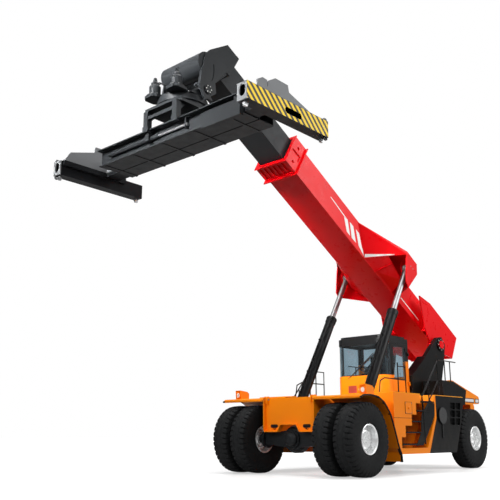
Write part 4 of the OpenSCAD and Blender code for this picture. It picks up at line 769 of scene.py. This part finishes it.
# Padded seat: squab, back and head rest
seat = at(-3.500, 0, 0)
squab = pillow(seat + [-0.245, -0.272, 2.225], seat + [0.262, 0.272, 2.462], 0.30, 0.10, channels=3, along=0)
back = pillow(seat + [-0.325, -0.255, 2.330], seat + [-0.118, 0.255, 3.030], 0.34, channels=4, along=2)
rest = pillow(seat + [-0.312, -0.142, 2.985], seat + [-0.188, 0.142, 3.165], 0.42)
for name, shell in (("seat_squab", squab), ("seat_back", back), ("head_rest", rest)):
    cushion = put(name, [shell], SEAT, "chassis")


# Floor, light and camera

WHITE = (1, 1, 1, 1)


def kinds_of_ray(t):
    """The camera's own rays, those through glass, and all that are seen: own, mirrored or refracted."""
    rays = add(t, "ShaderNodeLightPath").outputs
    own, through = rays["Is Camera Ray"], rays["Is Transmission Ray"]
    bent = add(t, "ShaderNodeMath", {0: rays["Is Glossy Ray"], 1: through}, operation="MAXIMUM")
    return own, through, add(t, "ShaderNodeMath", {0: own, 1: bent}, operation="MAXIMUM")


def stage_floor():
    """A plain pale floor that runs out into white between 9 m and 26 m from the object. Rays that light the
    object meet it at a mid grey, so that undersides stay in shade."""
    m, t, place = begin("studio_floor")
    own, through, seen = kinds_of_ray(t)
    tone = add(t, "ShaderNodeMix", {"Factor": seen, "A": rgb("5C5C5C"), "B": rgb("F4F4F4")}, data_type="RGBA")
    away = add(t, "ShaderNodeVectorMath", {0: place}, operation="LENGTH")
    glow = add(t, "ShaderNodeMapRange", {"Value": away, "From Min": 9.0, "From Max": 26.0,
                                         "To Min": 0.44, "To Max": 1.0})
    glow = add(t, "ShaderNodeMath", {0: own, 1: glow}, operation="MULTIPLY")
    coated(m, {"Base Color": tone, "Roughness": 0.22, "Specular IOR Level": 0.25, "Emission Color": WHITE,
               "Emission Strength": glow})
    reach, drop = 150, 0.002
    corners = [(reach * x, reach * y, -drop) for x, y in ((-1, -1), (1, -1), (1, 1), (-1, 1))]
    mesh = bpy.data.meshes.new("floor")
    mesh.from_pydata(corners, [], [(0, 1, 2, 3)])
    mesh.materials.append(m)
    floor = bpy.data.objects.new("floor", mesh)
    bpy.context.scene.collection.objects.link(floor)


def sky():
    """Even pale studio light. The camera sees it white, and glass and metal a mid grey."""
    world = bpy.data.worlds.new("studio")
    bpy.context.scene.world = world
    world.use_nodes = True
    t = world.node_tree
    t.nodes.clear()
    own, through, seen = kinds_of_ray(t)
    level = add(t, "ShaderNodeMapRange", {"Value": seen, "From Min": 0, "From Max": 1,
                                          "To Min": 0.22, "To Max": 0.26})
    behind_glass = add(t, "ShaderNodeMath", {0: through, 1: 0.55}, operation="MULTIPLY")
    level = add(t, "ShaderNodeMath", {0: level, 1: behind_glass}, operation="MAXIMUM")
    level = add(t, "ShaderNodeMath", {0: own, 1: level}, operation="MAXIMUM")
    back = add(t, "ShaderNodeBackground", {"Color": WHITE, "Strength": level})
    add(t, "ShaderNodeOutputWorld", {"Surface": back})


def softbox(name, place, target, size, power, spread=180):
    """A square area light of size metres and power watts that faces its target, with its beam held to spread
    degrees. Its aim turns it by acos(-z) from straight down, and by atan2(-x, y) round the upright."""
    light = bpy.data.lights.new(name, "AREA")
    light.shape = "SQUARE"
    light.size, light.energy, light.spread = size, power, math.radians(spread)
    lamp = bpy.data.objects.new(name, light)
    aim = unit(np.asarray(target, float) - place)
    lamp.location = place
    lamp.rotation_euler = (math.acos(-aim[2]), 0, math.atan2(-aim[0], aim[1]))
    bpy.context.scene.collection.objects.link(lamp)


stage_floor()
sky()
softbox("key", np.array([-13.0, 18.0, 13.0]), (-1, 0, 3.5), size=15.0, power=3700)
softbox("top", np.array([0.0, 0.0, 22.0]), (0, 0.01, 0), size=14.0, power=4000)
softbox("front", np.array([12.0, 14.0, 13.0]), (1, 0, 5.0), size=8.0, power=1100)
softbox("nose", np.array([20.0, -2.0, 12.0]), (3, 0, 6.0), size=9.0, power=1300)
softbox("spreader", np.array([20.0, -1.0, 12.5]), (4.8, 0, 7.8), size=4.0, power=330, spread=24)

# The photo's camera: low in front of the machine's left side, and turned up at it. Angles are in radians
UPWARD, HEADING = 0.2488, 3.8776
camera_data = bpy.data.cameras.new("photo_camera")
camera_data.lens, camera_data.sensor_width, camera_data.clip_end = 52.35, 36, 500
camera = bpy.data.objects.new("photo_camera", camera_data)
camera.location = at(13.861, 11.0568, 0.9042)
camera.rotation_euler = (math.pi / 2 + UPWARD, 0, HEADING - math.pi / 2)
bpy.context.scene.collection.objects.link(camera)
bpy.context.scene.camera = camera
bpy.context.scene.view_settings.view_transform = "Standard"
